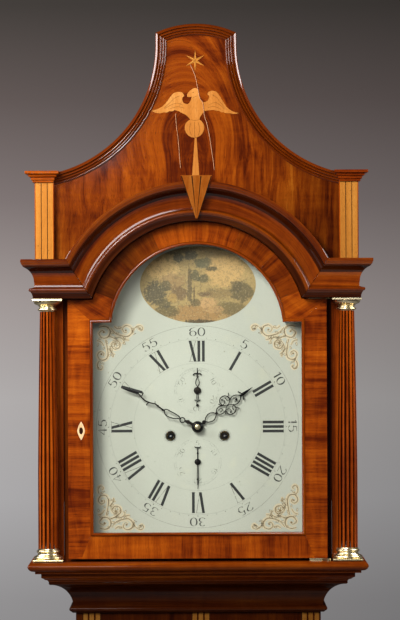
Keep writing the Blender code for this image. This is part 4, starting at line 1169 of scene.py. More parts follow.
# Age cracks down the tympanum, in metres: (x, z) from the crown to the arch
CRACKS = (((-0.0075, 2.3814), (-0.0043, 2.3741), (-0.0006, 2.3649), (0.0026, 2.3492), (0.0057, 2.3334),
           (0.0100, 2.3270), (0.0112, 2.3170), (0.0128, 2.3060), (0.0158, 2.2970), (0.0178, 2.2870),
           (0.0200, 2.2760), (0.0222, 2.2600), (0.0245, 2.2450), (0.0262, 2.2300)),
          ((-0.0290, 2.3110), (-0.0282, 2.2960), (-0.0262, 2.2800), (-0.0245, 2.2640), (-0.0236, 2.2480),
           (-0.0222, 2.2330)))


def cracks():
    """Old shrinkage cracks: a dark line for each gap, with a pale lip along its left."""
    gap, lip = Form(), Form()
    for line in CRACKS:
        run = smooth(line, 3)
        gap.stroke(run, 0.00035, TYMPANUM_FRONT - 0.00030, 0.0004)
        lip.stroke([(u - 0.0006, v) for u, v in run], 0.00026, TYMPANUM_FRONT - 0.00034, 0.0004)
    finish("tympanum_cracks", gap, stringing(), "hood", weld=False)
    tones = ((0.0, (0.34, 0.12, 0.05)), (1.0, (0.70, 0.36, 0.20)))
    pale = wood("pale_crack_lip", "z", tones, figure=0.3, gloss=0.2)
    finish("tympanum_crack_lips", lip, pale, "hood", weld=False)


# ---------------------------------------------------------------- hood door

VENEER = 0.0004
BEAD = 0.0045                 # width of the bead round the glass
BEAD_PROFILE = outline([(0.0, 0.0), (0.0, -0.0008), (0.0020, -0.0028, 0.45), (0.0040, -0.0012, 0.45),
                        (BEAD, -0.0005), (BEAD, 0.0)], 6)


def veneer(name, edge, grain, shift, look):
    """A sheet of veneer on the door's front, with its own run of grain."""
    form = Form()

    def place(p):
        along, across = grain(p[0], p[2])
        return along + shift, across + shift, p[1]

    form.prism(edge, DOOR_FRONT - VENEER, VENEER, place)
    finish(name, form, look, "hood_door", weld=False, bevel=0.0002)


def door_veneers():
    """Crossbanding: level grain on the stiles, upright on the rail and radial round the arch."""
    inner, foot, head = OPENING_HALF + BEAD, OPENING_BOTTOM - BEAD, OPENING_SHOULDER + BEAD
    ring = OPENING_R + BEAD
    mitre_foot = 0.1675
    joint = 0.00006               # half the fine joint between two sheets
    first = math.degrees(math.asin((DOOR_SHOULDER - ARCH_Z) / DOOR_R))
    begin = math.degrees(math.asin((head - ARCH_Z) / ring))
    # The left stile's veneer is a lighter copy of the right's: painted light, brighter on the key light's
    # side.
    bright = wood("stile_veneer_left_painted_light", tones=PAINTED_LIGHT_MAHOGANY, figure=1.4, gloss=0.6, contrast=1.1)
    plain = wood("stile_veneer_right", tones=MAHOGANY, figure=1.4, gloss=0.6, contrast=1.0)
    stile = [(mitre_foot + joint, DOOR_BOTTOM), (DOOR_HALF, DOOR_BOTTOM), (DOOR_HALF, DOOR_SHOULDER - joint),
             (inner, head - joint), (inner, foot + joint)]
    veneer("door_veneer_right", stile, lambda x, z: (x, z), 3.7, plain)
    veneer("door_veneer_left", mirrored(stile), lambda x, z: (x, z), 8.1, bright)
    rail = [(-mitre_foot, DOOR_BOTTOM), (mitre_foot, DOOR_BOTTOM),
            (inner - joint, foot), (joint - inner, foot)]
    veneer("door_veneer_rail", rail, lambda x, z: (z, x), 5.9, wood("rail_veneer", figure=1.2, gloss=0.6))
    for word, side in (("left", -1), ("right", 1)):
        corner = [(inner, head + joint), (DOOR_HALF, DOOR_SHOULDER)]
        corner += arc((0.0, ARCH_Z), DOOR_R, first, first + 4.0, 3)
        corner += arc((0.0, ARCH_Z), ring, first + 4.0, begin, 5)
        edge = corner if side > 0 else mirrored(corner)
        veneer(f"door_veneer_shoulder_{word}", edge, lambda x, z: (x * side * 0.6 + z, z - x * side * 0.6),
               6.4 + side, wood("shoulder_veneer", figure=1.3, gloss=0.6))
    start, end = first + 4.0, 176.0 - first
    cuts = (0.0, 0.17, 0.33, 0.52, 0.68, 0.84, 1.0)
    sheets = (DEEP_MAHOGANY, DEEP_MAHOGANY, MAHOGANY, MAHOGANY, DARK_MAHOGANY, DEEP_MAHOGANY)

    def radial(x, z):
        return math.hypot(x, z - ARCH_Z), 0.14 * math.atan2(z - ARCH_Z, x)

    for number, tones in enumerate(sheets):
        a = start + (end - start) * cuts[number] + 0.02
        b = start + (end - start) * cuts[number + 1] - 0.02
        edge = arc((0.0, ARCH_Z), DOOR_R, a, b, 8) + arc((0.0, ARCH_Z), ring, b, a, 8)
        # Each sheet darkens towards the left: painted shadow cast by the cornice and keystone.
        look = wood(f"arch_veneer_painted_shadow_{number + 1}", tones=tones, figure=1.1, gloss=0.6,
                    painted_shade=("X", -0.06, -0.125, 0.40))
        veneer(f"door_veneer_arch_{number + 1}", edge, radial, 2.3 * number, look)


def door_bead():
    """The rounded bead that holds the glass, mitred at its corners."""
    paths = []
    for out, proud in BEAD_PROFILE:
        path = arched(OPENING_HALF + out, OPENING_BOTTOM - out, OPENING_SHOULDER + out, OPENING_R + out)
        paths.append([(x, DOOR_FRONT - GAP / 3 + proud, z) for x, z in path])
    rings = [[path[k] for path in paths] for k in range(len(paths[0]))]
    form = Form()
    form.loft(rings, closed=True)
    look = wood("bead_wood", tones=DEEP_MAHOGANY, figure=0.3, shift=4.4, gloss=1.1)
    finish("door_bead", form, look, "hood_door", angle=30)


def bone():
    """Yellowed bone with short dark fibres."""
    look = Look("bone")
    fibre = look.noise(look.stretch(look.at, (500.0, 500.0, 120.0)), 1.0, 3.0)
    look.set("Base Color", look.mix(look.between(fibre, 0.4, 0.7), (0.70, 0.47, 0.24), (0.52, 0.30, 0.12)))
    look.set("Roughness", look.between(fibre, 0.3, 0.7, 0.35, 0.5))
    look.bump(fibre, 0.00003, 0.4)
    return look.material


def escutcheon(name, body, centre, front):
    """A concave-sided bone diamond round a dark oval keyhole."""
    half_high, half_wide, bend = 0.0135, 0.0057, -0.10
    tips = [(0.0, half_high), (half_wide, 0.0, bend), (0.0, -half_high, bend), (-half_wide, 0.0, bend),
            (0.0, half_high, bend)]
    edge = [(centre[0] + u, centre[1] + v) for u, v in outline(tips, 8)[:-1]]
    form = Form()
    form.prism(edge[::-1], front - 0.00035, 0.0005)
    finish(name, form, bone(), body, weld=False)
    # The keyhole is a dark oval sheet on the bone: painted shade standing for the hole.
    form = Form()
    form.prism(arc(centre, (0.0028, 0.0050), 0, 345, 23), front - 0.00045, 0.0002)
    finish(name + "_keyhole", form, stringing(), body, weld=False)


def door_fittings():
    """The hood door's escutcheon and its brass pivot straps."""
    escutcheon("hood_door_escutcheon", "hood_door", (-0.1672, 1.856), DOOR_FRONT - VENEER)
    pin = (0.1875, -0.104)
    levels = (("hood_hinge_lower_leaf", "hood", DOOR_BOTTOM - 0.0037, 0.0012),
              ("door_hinge_lower_leaf", "hood_door", DOOR_BOTTOM - 0.0018, 0.0012),
              ("door_hinge_upper_leaf", "hood_door", DOOR_SHOULDER + 0.0002, 0.0006))
    plan = [(0.160, -0.079), (0.160, -0.0935), (0.178, -0.0965), *arc(pin, 0.0034, 200, 380, 9),
            (0.1905, -0.094), (0.1905, -0.079)]
    for name, body, z, thick in levels:
        form = Form()
        form.loft([[(x, y, z) for x, y in plan], [(x, y, z + thick) for x, y in plan]])
        finish(name, form, metal("pale_brass"), body, angle=30)


# ---------------------------------------------------------------- dial decoration

INK = 0.00008                 # thickness of painted marks above the dial
NUMERALS = ("XII", "I", "II", "III", "IIII", "V", "VI", "VII", "VIII", "IX", "X", "XI")
ROMAN_IN, ROMAN_OUT = 0.0944, 0.1244
# Each letter's pitch, half its serifs' length, and its strokes: (heavy, across at the foot, at the head)
LETTERS = {"I": (0.0065, 0.0028, ((True, 0.0, 0.0),)),
           "V": (0.0130, 0.0062, ((True, -0.0003, -0.0050), (False, 0.0008, 0.0052))),
           "X": (0.0112, 0.0056, ((True, 0.0036, -0.0040), (False, -0.0042, 0.0042)))}


def painted(name, form, ink, colour, wear_low, wear_high):
    """Marks on the dial in a worn ink."""
    finish(name, form, worn_ink(ink, colour, wear_low, wear_high), "case", weld=False)


def roman_numerals():
    """The hours: heavy strokes in black, and thin strokes and serifs rubbed faint."""
    bold, faint = Form(), Form()
    thick, thin, serif = 0.0020, 0.00034, 0.0002
    for hour, word in enumerate(NUMERALS):
        turn = math.radians(30 * hour)
        across = -sum(LETTERS[letter][0] for letter in word) / 2
        for letter in word:
            pitch, spread, strokes = LETTERS[letter]
            middle = across + pitch / 2
            across += pitch
            for heavy, foot, head in strokes:
                form, half = (bold, thick) if heavy else (faint, thin)
                edge = [(middle + foot - half, ROMAN_IN), (middle + foot + half, ROMAN_IN),
                        (middle + head + half, ROMAN_OUT), (middle + head - half, ROMAN_OUT)]
                form.prism(turned_about(edge, CENTRE, turn), DIAL_FRONT - INK, INK)
            for out in (ROMAN_OUT,) if letter == "V" else (ROMAN_IN, ROMAN_OUT):
                edge = rectangle(middle - spread, out - serif, middle + spread, out + serif)
                faint.prism(turned_about(edge, CENTRE, turn), DIAL_FRONT - INK / 2, INK / 2)
    painted("roman_numerals", bold, "numeral_ink", (0.012, 0.012, 0.011), 0.68, 0.84)
    painted("numeral_hairlines", faint, "hairline_ink", (0.075, 0.075, 0.065), 0.52, 0.72)


def digit(number):
    """Strokes of a digit in a box one high and 0.6 wide, its foot at zero: lists of points."""
    return {"0": [arc((0.3, 0.5), (0.27, 0.5), 90, 450, 16)],
            "1": [[(0.12, 0.82), (0.30, 1.0), (0.30, 0.0)]],
            "2": [arc((0.3, 0.74), (0.25, 0.26), 170, -40, 9) + [(0.04, 0.02), (0.56, 0.02)]],
            "3": [arc((0.28, 0.76), (0.22, 0.24), 150, -90, 9), arc((0.28, 0.26), (0.26, 0.26), 90, -150, 9)],
            "4": [[(0.42, 0.0), (0.42, 1.0), (0.03, 0.30), (0.60, 0.30)]],
            "5": [[(0.52, 1.0), (0.14, 1.0), (0.10, 0.56)] + arc((0.27, 0.32), (0.26, 0.32), 120, -150, 11)],
            "6": [arc((0.42, 0.62), (0.38, 0.38), 80, 185, 7),
                  arc((0.3, 0.30), (0.26, 0.30), 90, 450, 14)]}[number]


def nib(points, half):
    """Half widths of a pen stroke: full where it runs upright and thin where it runs across."""
    widths = []
    for k in range(len(points)):
        before, after = Vector(points[max(k - 1, 0)]), Vector(points[min(k + 1, len(points) - 1)])
        rise = abs(after.y - before.y) / (after - before).length
        widths.append(half * (0.25 + 0.9 * rise ** 3))
    return widths


def write_number(form, word, place, height, half, turn):
    """Digits centred on a place (across, out from the pivot's centre), turned clockwise."""
    advance = [(0.52 if character == "1" else 1.02) * height for character in word]
    pivot, out = place
    start = -sum(advance) / 2
    for character, step in zip(word, advance):
        middle = start + step / 2
        start += step
        for stroke in digit(character):
            widths = nib(stroke, half)
            points = [(middle + 1.4 * (u - 0.3) * height, out - height / 2 + v * height) for u, v in stroke]
            form.stroke(turned_about(points, pivot, turn), widths, DIAL_FRONT - INK, INK)


def circle_line(form, centre, radius, half, steps=144):
    """A thin painted circle."""
    rings = []
    section = rectangle(radius - half, DIAL_FRONT - INK / 2, radius + half, DIAL_FRONT)
    for k in range(steps):
        a = 2 * math.pi * k / steps
        rings.append([(centre[0] + r * math.cos(a), y, centre[1] + r * math.sin(a)) for r, y in section])
    form.loft(rings, closed=True)


def minute_ring():
    """Sixty dots, arabic minutes with their feet to the centre, and faint rings."""
    dots, numbers, rings = Form(), Form(), Form()
    for minute in range(60):
        turn = math.radians(6 * minute)
        size = 0.0008 if minute % 5 == 0 else 0.00055
        spot = turned_about([(0.0, 0.1287)], CENTRE, turn)[0]
        dots.prism(arc(spot, size, 0, 300, 5), DIAL_FRONT - INK, INK)
    for step in range(12):
        turn = math.radians(30 * step)
        write_number(numbers, str(5 * step or 60), (CENTRE, 0.1373), 0.0120, 0.00092, turn)
    for radius, half in ((0.1460, 0.00022), (0.1268, 0.00012), (0.0920, 0.00010)):
        circle_line(rings, CENTRE, radius, half)
    painted("minute_dots", dots, "dot_ink", (0.030, 0.030, 0.026), 0.52, 0.66)
    painted("minute_numbers", numbers, "number_ink", (0.030, 0.030, 0.026), 0.56, 0.74)
    painted("dial_rings", rings, "ring_ink", (0.20, 0.20, 0.17), 0.50, 0.72)


def subsidiary_dials():
    """The seconds ring above the centre and the calendar ring below, ticked, numbered and worn."""
    marks, numbers = Form(), Form()
    tick, half = 0.0030, 0.00012
    small_dials = ((SECONDS, 0.0330, 60, (60, 10, 20, 30, 40, 50)),
                   (CALENDAR, 0.0340, 31, (5, 10, 15, 20, 25, 30)))
    for centre, radius, count, words in small_dials:
        circle_line(marks, centre, radius, 0.00014, 96)
        circle_line(marks, centre, radius - tick, 0.00010, 96)
        for k in range(count):
            edge = rectangle(-half, radius - tick, half, radius)
            turn = 2 * math.pi * k / count
            marks.prism(turned_about(edge, centre, turn), DIAL_FRONT - INK / 2, INK / 2)
        for k, word in enumerate(words):
            turn = 2 * math.pi * k / len(words)
            write_number(numbers, str(word), (centre, radius - 0.0068), 0.0062, 0.00036, turn)
    painted("subsidiary_rings", marks, "subsidiary_ink", (0.14, 0.14, 0.12), 0.40, 0.58)
    painted("subsidiary_numbers", numbers, "small_number_ink", (0.05, 0.05, 0.042), 0.46, 0.60)


def winding_rings():
    """A near-black ring at each winding hole's edge, painted shade for the dark of the hole, and a fine ring
    round it.
    """
    form = Form()
    for centre in WINDING:
        circle_line(form, centre, 0.0073, 0.0004, 48)
        circle_line(form, centre, 0.0090, 0.00012, 48)
    painted("winding_hole_shade_rings", form, "hole_shade_ink", (0.010, 0.010, 0.009), 0.85, 0.95)


def winding_ends():
    """The dark end of each winding arbor in its hole, with a bright centre."""
    for word, centre in zip(("strike", "time"), WINDING):
        front = low(f"barrel_{word}").y
        end, tip = Form(), Form()
        # The near-black steel cap also stands in for the shade down in the hole: partly painted shade.
        end.prism(arc(centre, 0.0044, 0, 345, 23), front - 0.0004, 0.0003)
        tip.prism(arc(centre, 0.0013, 0, 330, 11), front - 0.0007, 0.0003)
        finish(f"winding_end_{word}", end, metal("black_steel"), f"{word}_barrel")
        finish(f"winding_tip_{word}", tip, metal("grey_steel"), f"{word}_barrel")


# Scrolls of one corner, in millimetres in from the corner: (points, widest half width)
SCROLLS = (
    (((25, 6), (32, 14), (42, 17.5), (50, 18), (56, 12), (54, 5), (47, 2.5), (42, 7), (45, 12.5),
      (49, 11)), 0.9),
    (((56, 12), (60, 6), (66, 2.6), (71, 5), (69.5, 9.5), (65.5, 8), (67.5, 5.5)), 0.6),
    (((18, 23), (20, 35), (21, 44), (18, 51), (10, 52), (6, 45), (10, 40), (15, 42.5), (13.5, 46.5)), 0.9),
    (((10, 52), (6.5, 56), (6, 62), (10, 66), (13.5, 62.5), (10.5, 60)), 0.6),
    (((8, 5), (17, 3.5), (24, 9), (22, 18), (13.5, 20.5), (8, 14), (13, 9.5), (17, 13)), 0.9),
    (((22, 18), (30, 21), (38, 27.5), (37, 34.5), (30, 36.5), (25.5, 30.5), (30, 26), (33.5, 30)), 0.9),
    (((30, 21), (38, 20), (44, 24.5), (42.5, 29.5)), 0.5),
    (((24, 32), (25, 40), (31, 44.5)), 0.5),
    (((42, 17.5), (46, 22.5), (52, 23.5)), 0.5),
    (((20, 35), (27, 42), (28, 49)), 0.5),
    (((5, 24), (11, 26), (15, 32)), 0.5),
    (((30, 3.5), (35, 7), (41, 5)), 0.5))
# Leaves of one corner, in millimetres and degrees: (root, heading, length)
LEAVES = (((31, 29), 10, 7), ((31, 29), 70, 7), ((31, 29), 130, 6), ((31, 29), 250, 6), ((31, 29), 310, 6),
          ((40, 17), 60, 6), ((46, 18), 100, 5), ((23, 36), 30, 6), ((21, 46), -10, 5), ((20, 8), -60, 4),
          ((12, 20), 150, 5), ((24, 12), 20, 6), ((18, 24), 60, 6), ((57, 12), 60, 4.5), ((62, 4), 20, 4.5),
          ((10, 55), 30, 4.5), ((6, 62), 70, 4.5), ((36, 4), 30, 5), ((7, 28), 100, 5), ((43, 27), 40, 5),
          ((27, 43), 70, 5), ((16, 34), 120, 4), ((33, 14), -20, 5))
# Gilt dots of one corner: where they are, and their radius
DOTS = ((15, 12, 1.5), (47, 9.5, 1.4), (11.5, 44, 1.4), (31, 29, 1.5), (61, 14, 0.8), (15, 58, 0.8))


def swelling(line, widest):
    """Half widths along a brush stroke: fine at both ends and fullest before the middle."""
    last = len(line) - 1
    return [0.001 * widest * (0.22 + 0.78 * math.sin(math.pi * (k / last) ** 0.7)) for k in range(len(line))]


def leaf(root, heading, length):
    """A small pointed leaf, in millimetres."""
    c, s = math.cos(math.radians(heading)), math.sin(math.radians(heading))
    side = ((0, 0), (0.35, 0.24), (0.7, 0.20), (1, 0))
    edge = smooth(side, 3) + smooth([(u, -v) for u, v in reversed(side)], 3)
    return [(root[0] + length * (u * c - v * s), root[1] + length * (u * s + v * c)) for u, v in edge]


def corner_scrolls():
    """Gilt scrollwork in the dial's four corners: fine olive lines over broad cream brushwork."""
    lines, gilt, halo = Form(), Form(), Form()
    rise = 0.0000015              # each stroke lies a hair above the one before it
    top, foot = OPENING_SHOULDER - 0.0015, OPENING_BOTTOM + 0.0005
    for side, up, level in ((-1, -1, top), (1, -1, top), (-1, 1, foot), (1, 1, foot)):
        lift = 0.0

        def place(points):
            return [(side * (OPENING_HALF - 0.001 * u), level + up * 0.001 * v) for u, v in points]

        for points, widest in SCROLLS:
            line = place(smooth(points, 5))
            halves = swelling(line, widest)
            lift += rise
            halo.stroke(line, [0.0018 + 1.4 * h for h in halves], DIAL_FRONT - INK / 8 - lift / 8, INK / 8)
            gilt.stroke(line, [0.58 * h for h in halves], DIAL_FRONT - INK / 2 - lift, INK / 2)
            beside = [(u + 0.0007, v - 0.0005) for u, v in line]
            lines.stroke(beside, 0.00020, DIAL_FRONT - 1.4 * INK - lift, INK)
        for root, heading, length in LEAVES:
            edge = place(leaf(root, heading, length))
            lift += rise
            halo.stroke([edge[0], edge[6]], [0.0015, 0.0006], DIAL_FRONT - INK / 8 - lift / 8, INK / 8)
            gilt.stroke(edge, 0.00026, DIAL_FRONT - INK / 2 - lift, INK / 2)
        for u, v, size in DOTS:
            gilt.prism(arc(place([(u, v)])[0], 0.001 * size, 0, 330, 11), DIAL_FRONT - 1.3 * INK, INK)
    painted("corner_scroll_lines", lines, "scroll_lines", (0.17, 0.12, 0.055), 0.50, 0.74)
    finish("corner_scrolls", gilt, gilding(), "case", weld=False)
    painted("corner_halo", halo, "halo_paint", (0.66, 0.56, 0.38), 0.50, 0.80)


def gilding():
    """Old gold size: brown and olive with glints."""
    look = Look("worn_gilding")
    patch = look.noise(look.at, 160.0, 3.0, 0.6)
    tones = ((0.30, (0.13, 0.085, 0.040)), (0.5, (0.25, 0.17, 0.080)), (0.72, (0.46, 0.36, 0.22)))
    look.set("Base Color", look.ramp(patch, tones))
    look.set("Metallic", 0.25)
    look.set("Roughness", look.between(patch, 0.3, 0.7, 0.35, 0.55))
    return look.material


# The painted landscape: (middle in millimetres from the oval's centre, radii, colour, strength)
SCENE = (
    ((38, 20), (34, 28), (0.62, 0.44, 0.200), 0.90), ((-50, 22), (26, 18), (0.70, 0.52, 0.250), 0.90),
    ((-30, 50), (28, 7), (0.120, 0.105, 0.056), 0.75), ((24, 46), (26, 8), (0.30, 0.235, 0.120), 0.60),
    ((-36, 4), (22, 14), (0.34, 0.235, 0.120), 0.75), ((30, -13), (26, 8), (0.27, 0.205, 0.095), 0.85),
    ((0, -42), (48, 14), (0.36, 0.225, 0.090), 0.90), ((-44, -38), (20, 9), (0.125, 0.105, 0.045), 0.85),
    ((46, -34), (26, 10), (0.170, 0.140, 0.062), 0.88), ((13, -26), (16, 8), (0.56, 0.37, 0.19), 0.80),
    ((24, -36), (17, 6), (0.50, 0.33, 0.16), 0.70), ((-62, -12), (18, 18), (0.085, 0.080, 0.050), 0.92),
    ((-48, -2), (11, 9), (0.115, 0.105, 0.058), 0.80), ((-50, -26), (14, 8), (0.095, 0.088, 0.048), 0.80),
    ((-27, -12), (12, 11), (0.165, 0.110, 0.060), 0.85), ((-37, -19), (8, 7), (0.42, 0.30, 0.11), 0.80),
    ((64, -10), (19, 16), (0.135, 0.115, 0.058), 0.90), ((56, -2), (10, 9), (0.115, 0.098, 0.050), 0.70),
    ((-12, 0), (4.6, 32), (0.110, 0.088, 0.052), 0.80), ((-15.5, 8), (1.3, 20), (0.48, 0.38, 0.22), 0.60),
    ((-5.5, -12), (1.6, 16), (0.120, 0.085, 0.045), 0.85), ((-3, -26), (9, 6), (0.110, 0.092, 0.042), 0.80),
    ((-28, 40), (9, 8), (0.075, 0.080, 0.046), 0.85), ((-10, 42), (12, 7), (0.095, 0.098, 0.060), 0.85),
    ((7, 31), (14, 9), (0.120, 0.130, 0.080), 0.88), ((19, 23), (9, 4), (0.080, 0.078, 0.044), 0.85),
    ((-4, 13), (8, 9), (0.105, 0.105, 0.062), 0.85), ((9, 9), (9, 7), (0.105, 0.105, 0.058), 0.85),
    ((10, -14), (12, 4), (0.150, 0.095, 0.055), 0.70), ((0, -54), (26, 4), (0.055, 0.042, 0.020), 0.90))
# What yellowed varnish leaves of red, green and blue
PAINT_WARMTH = (1.00, 0.87, 0.68)


def painting():
    """An oval landscape on the arch: a tall tree, bushes, distant hills and a sandy path."""
    centre, radii = (0.0014, 2.0654), (0.0837, 0.0555)
    look = Look("landscape_paint")
    across, _, rise = look.split(look.at)
    daub = look.noise(look.at, 130.0, 4.0, 0.65)
    ragged = look.noise(look.at, 420.0, 3.0, 0.7)
    colour = look.mix(look.noise(look.at, 45.0, 3.0), (0.48, 0.33, 0.120), (0.34, 0.235, 0.085))
    for middle, size, tint, strength in SCENE:
        tint = tuple(c * share for c, share in zip(tint, PAINT_WARMTH))
        u = look.times(look.minus(across, centre[0] + 0.001 * middle[0]), 1000 / size[0])
        v = look.times(look.minus(rise, centre[1] + 0.001 * middle[1]), 1000 / size[1])
        away = look.weigh(((daub, 1.5), (ragged, 0.7)), look.distance(u, v))
        colour = look.mix(look.times(look.between(away, 0.70, 1.05, 1.0, 0.0), strength), colour, tint)
    leaves = look.between(look.noise(look.at, 320.0, 3.0, 0.7), 0.50, 0.62)
    colour = look.mix(look.times(leaves, 0.38), colour, (0.085, 0.070, 0.038))
    elsewhere = look.stretch(look.at, (1.0, 1.0, 1.0), (0.3, 0.0, 0.7))
    light = look.between(look.noise(elsewhere, 420.0, 3.0, 0.7), 0.54, 0.66)
    colour = look.mix(look.times(light, 0.40), colour, (0.62, 0.47, 0.24))
    look.set("Base Color", colour)
    look.set("Roughness", look.between(daub, 0.3, 0.7, 0.42, 0.58))
    look.bump(daub, 0.00008, 0.4)
    form = Form()
    form.prism(arc(centre, radii, 0, 356.25, 95), DIAL_FRONT - 0.00012, 0.00014)
    finish("dial_painting", form, look.material, "case", weld=False)


# ---------------------------------------------------------------- hands


def pierced(name, front, pivot, turn, strokes, blobs, rings, solids, boss):
    """A fretted hand: strokes (points, half width), round blobs, open rings and solid shapes, in millimetres.

    Points are (along, aside), counted from the arbor and clockwise of the hand's line.
    """
    thick = 0.0008
    form = Form()

    def placed(points):
        return millimetres([(aside, along) for along, aside in points], pivot, turn)

    for points, half in strokes:
        form.stroke(placed(smooth(points, 4)), 0.001 * half, front, thick)
    for place, radius in blobs:
        spot = placed([place])[0]
        form.prism(arc(spot, 0.001 * radius, 0, 345, 15), front - 0.00002, thick)
    for place, radius, half in rings:
        spot = placed([place])[0]
        loop = arc(spot, 0.001 * radius, 0, 345, 15)
        section = rectangle(-half / radius, front, half / radius, front + thick)
        form.loft([[(u + (u - spot[0]) * k, y, v + (v - spot[1]) * k) for k, y in section]
                   for u, v in loop], closed=True)
    for points in solids:
        form.prism(placed(points), front, thick)
    radius, rise = boss
    profile = outline([(0.0, -(front + thick)), (radius, -(front + thick)), (radius, -front + 0.3 * rise),
                       (radius * 0.6, -front + rise, 0.3), (0.0, -front + rise)], 5)
    form.turned(profile, (pivot[0], 0.0, pivot[1]), forward=True, steps=32)
    finish(name + "_fine", form, metal("black_steel"), name_body(name), (name,), angle=30,
           weld=False)


def minute_hand():
    """The long hand and its brass collet."""
    strokes = (
        (((7, 0), (13, 0.4), (19.5, -0.6)), 2.0),
        (((27, -1), (30.3, 1.2), (37, 2.2), (44.2, 2.2), (50, 2.4), (53.6, 1.2)), 0.75),
        (((27, -1), (31.2, -2.4), (36, -4.6), (42.3, -6.0), (48, -5.6), (51.3, -4.0), (53.6, -0.6),
          (53.6, 1.2)), 0.75),
        (((52.2, -1.4), (57, -0.6), (62.6, 0.3), (68.8, 1.6), (73, 0.6), (77.9, -0.4), (84.8, -0.7),
          (92.7, 1.6), (100, 4.6)), 0.95),
        (((77.9, -0.4), (79.6, -2.4), (80.2, -5.0)), 0.7), (((93, 1.6), (92, 4.6), (92.5, 7.6)), 0.8),
        (((92.5, 7.6), (96, 6.8), (100, 4.6)), 0.8), (((68.8, 1.6), (70.6, 3.2), (71.4, 5.0)), 0.5))
    blobs = (((79.9, -5.0), 1.1), ((92.6, 7.4), 1.2), ((15.5, 0.2), 3.0), ((56.2, -0.8), 1.7),
             ((64.8, 0.8), 1.5))
    rings = (((23.9, -1.1), 3.6, 0.8),)
    solids = (((98, 2.6), (98, 5.4), (106, 4.2), (116, 1.6), (123.8, -0.4), (123.8, -0.8), (112, 0.0),
               (104, 1.2)),)
    boss = (0.0080, 0.0040)
    pierced("minute_hand", MINUTE_FRONT, CENTRE, MINUTE_ANGLE, strokes, blobs, rings, solids, boss)
    brass = Form()
    top = -MINUTE_FRONT + boss[1]
    profile = outline([(0.0, top - 0.001), (0.0040, top - 0.001), (0.0040, top + 0.0003),
                       (0.0030, top + 0.0012, 0.3), (0.0014, top + 0.0014), (0.0, top + 0.0014)], 4)
    brass.turned(profile, (CENTRE[0], 0.0, CENTRE[1]), forward=True, steps=24)
    finish("hand_collet", brass, metal("pale_brass"), "centre_arbor", angle=30)


def both_sides(shapes):
    """Each (points, size) or (point, size) and its mirror image across the hand's line."""
    made = []
    for shape, size in shapes:
        if isinstance(shape[0], tuple):
            other = tuple((along, -aside) for along, aside in shape)
        else:
            other = (shape[0], -shape[1])
        made += [(shape, size), (other, size)]
    return tuple(made)


def hour_hand():
    """The short hand, and behind the dial its pipe and wheel."""
    strokes = both_sides((
        (((13.5, 0), (17, 3.6), (23, 6.0), (28.5, 4.6), (33.6, 0)), 0.75),
        (((33.6, 0), (37.0, 4.2), (42.0, 5.6), (47.4, 4.2)), 0.70),
        (((47.4, 4.2), (46.6, 9.4), (50.4, 14.0), (56.6, 14.2), (61.0, 10.0), (60.8, 4.4)), 0.70),
        (((60.8, 4.4), (65.8, 6.4), (71.6, 5.0), (77.2, 0.4)), 0.70),
        (((47.4, 4.2), (50.4, 1.4), (54.0, 0), (57.6, -1.6), (60.8, -4.4)), 0.50),
        (((47.4, 4.2), (51.6, 5.0), (53.6, 8.4), (51.6, 10.6)), 0.50),
        (((60.8, 4.4), (57.2, 6.6), (56.8, 9.4)), 0.50),
        (((38.4, 2.0), (42.6, 1.8), (44.4, -0.6)), 0.45), (((64.4, 2.6), (68.8, 2.0), (70.2, -1.0)), 0.45),
        (((47.4, 4.2), (45.2, 6.0), (44.2, 8.2)), 0.60), (((60.9, 9.6), (63.2, 11.2), (64.4, 13.2)), 0.60),
        (((80.1, 0), (79.0, 3.4), (77.4, 6.4)), 0.75)))
    strokes += ((((8, 0), (13.5, 0)), 1.6), (((76, 0), (84, 0)), 1.3))
    blobs = both_sides((((51.4, 10.8), 1.3), ((56.8, 9.6), 0.9), ((44.2, 8.2), 0.9), ((64.4, 13.2), 0.9),
                        ((77.4, 6.4), 1.0), ((47.4, 4.2), 1.0), ((60.8, 4.4), 1.0)))
    blobs += (((11.4, 0.0), 3.0), ((33.6, 0.0), 1.8), ((54.0, 0.0), 1.3), ((77.2, 0.0), 1.8),
              ((68.0, 0.4), 1.3))
    solids = (((80, -2.2), (80, 2.2), (83.0, 2.2), (98.2, 0.2), (98.2, -0.2), (83.0, -2.2)),)
    pierced("hour_hand", HOUR_FRONT, CENTRE, HOUR_ANGLE, strokes, blobs, (), solids, (0.0085, 0.0008))
    form = Form()
    near, far = -(HOUR_FRONT + 0.0002), -(low("movement_front_plate").y - 0.001)
    profile = [(0.0030, far), (0.0048, far), (0.0048, 0.022), (0.0300, 0.022), (0.0300, 0.024),
               (0.0048, 0.024), (0.0048, near), (0.0030, near)]
    form.turned(profile, (CENTRE[0], 0.0, CENTRE[1]), forward=True, steps=48, closed=True)
    finish("hour_wheel_and_pipe", form, metal("satin_brass"), "hour_pipe", ("hour_hand",),
           angle=30)


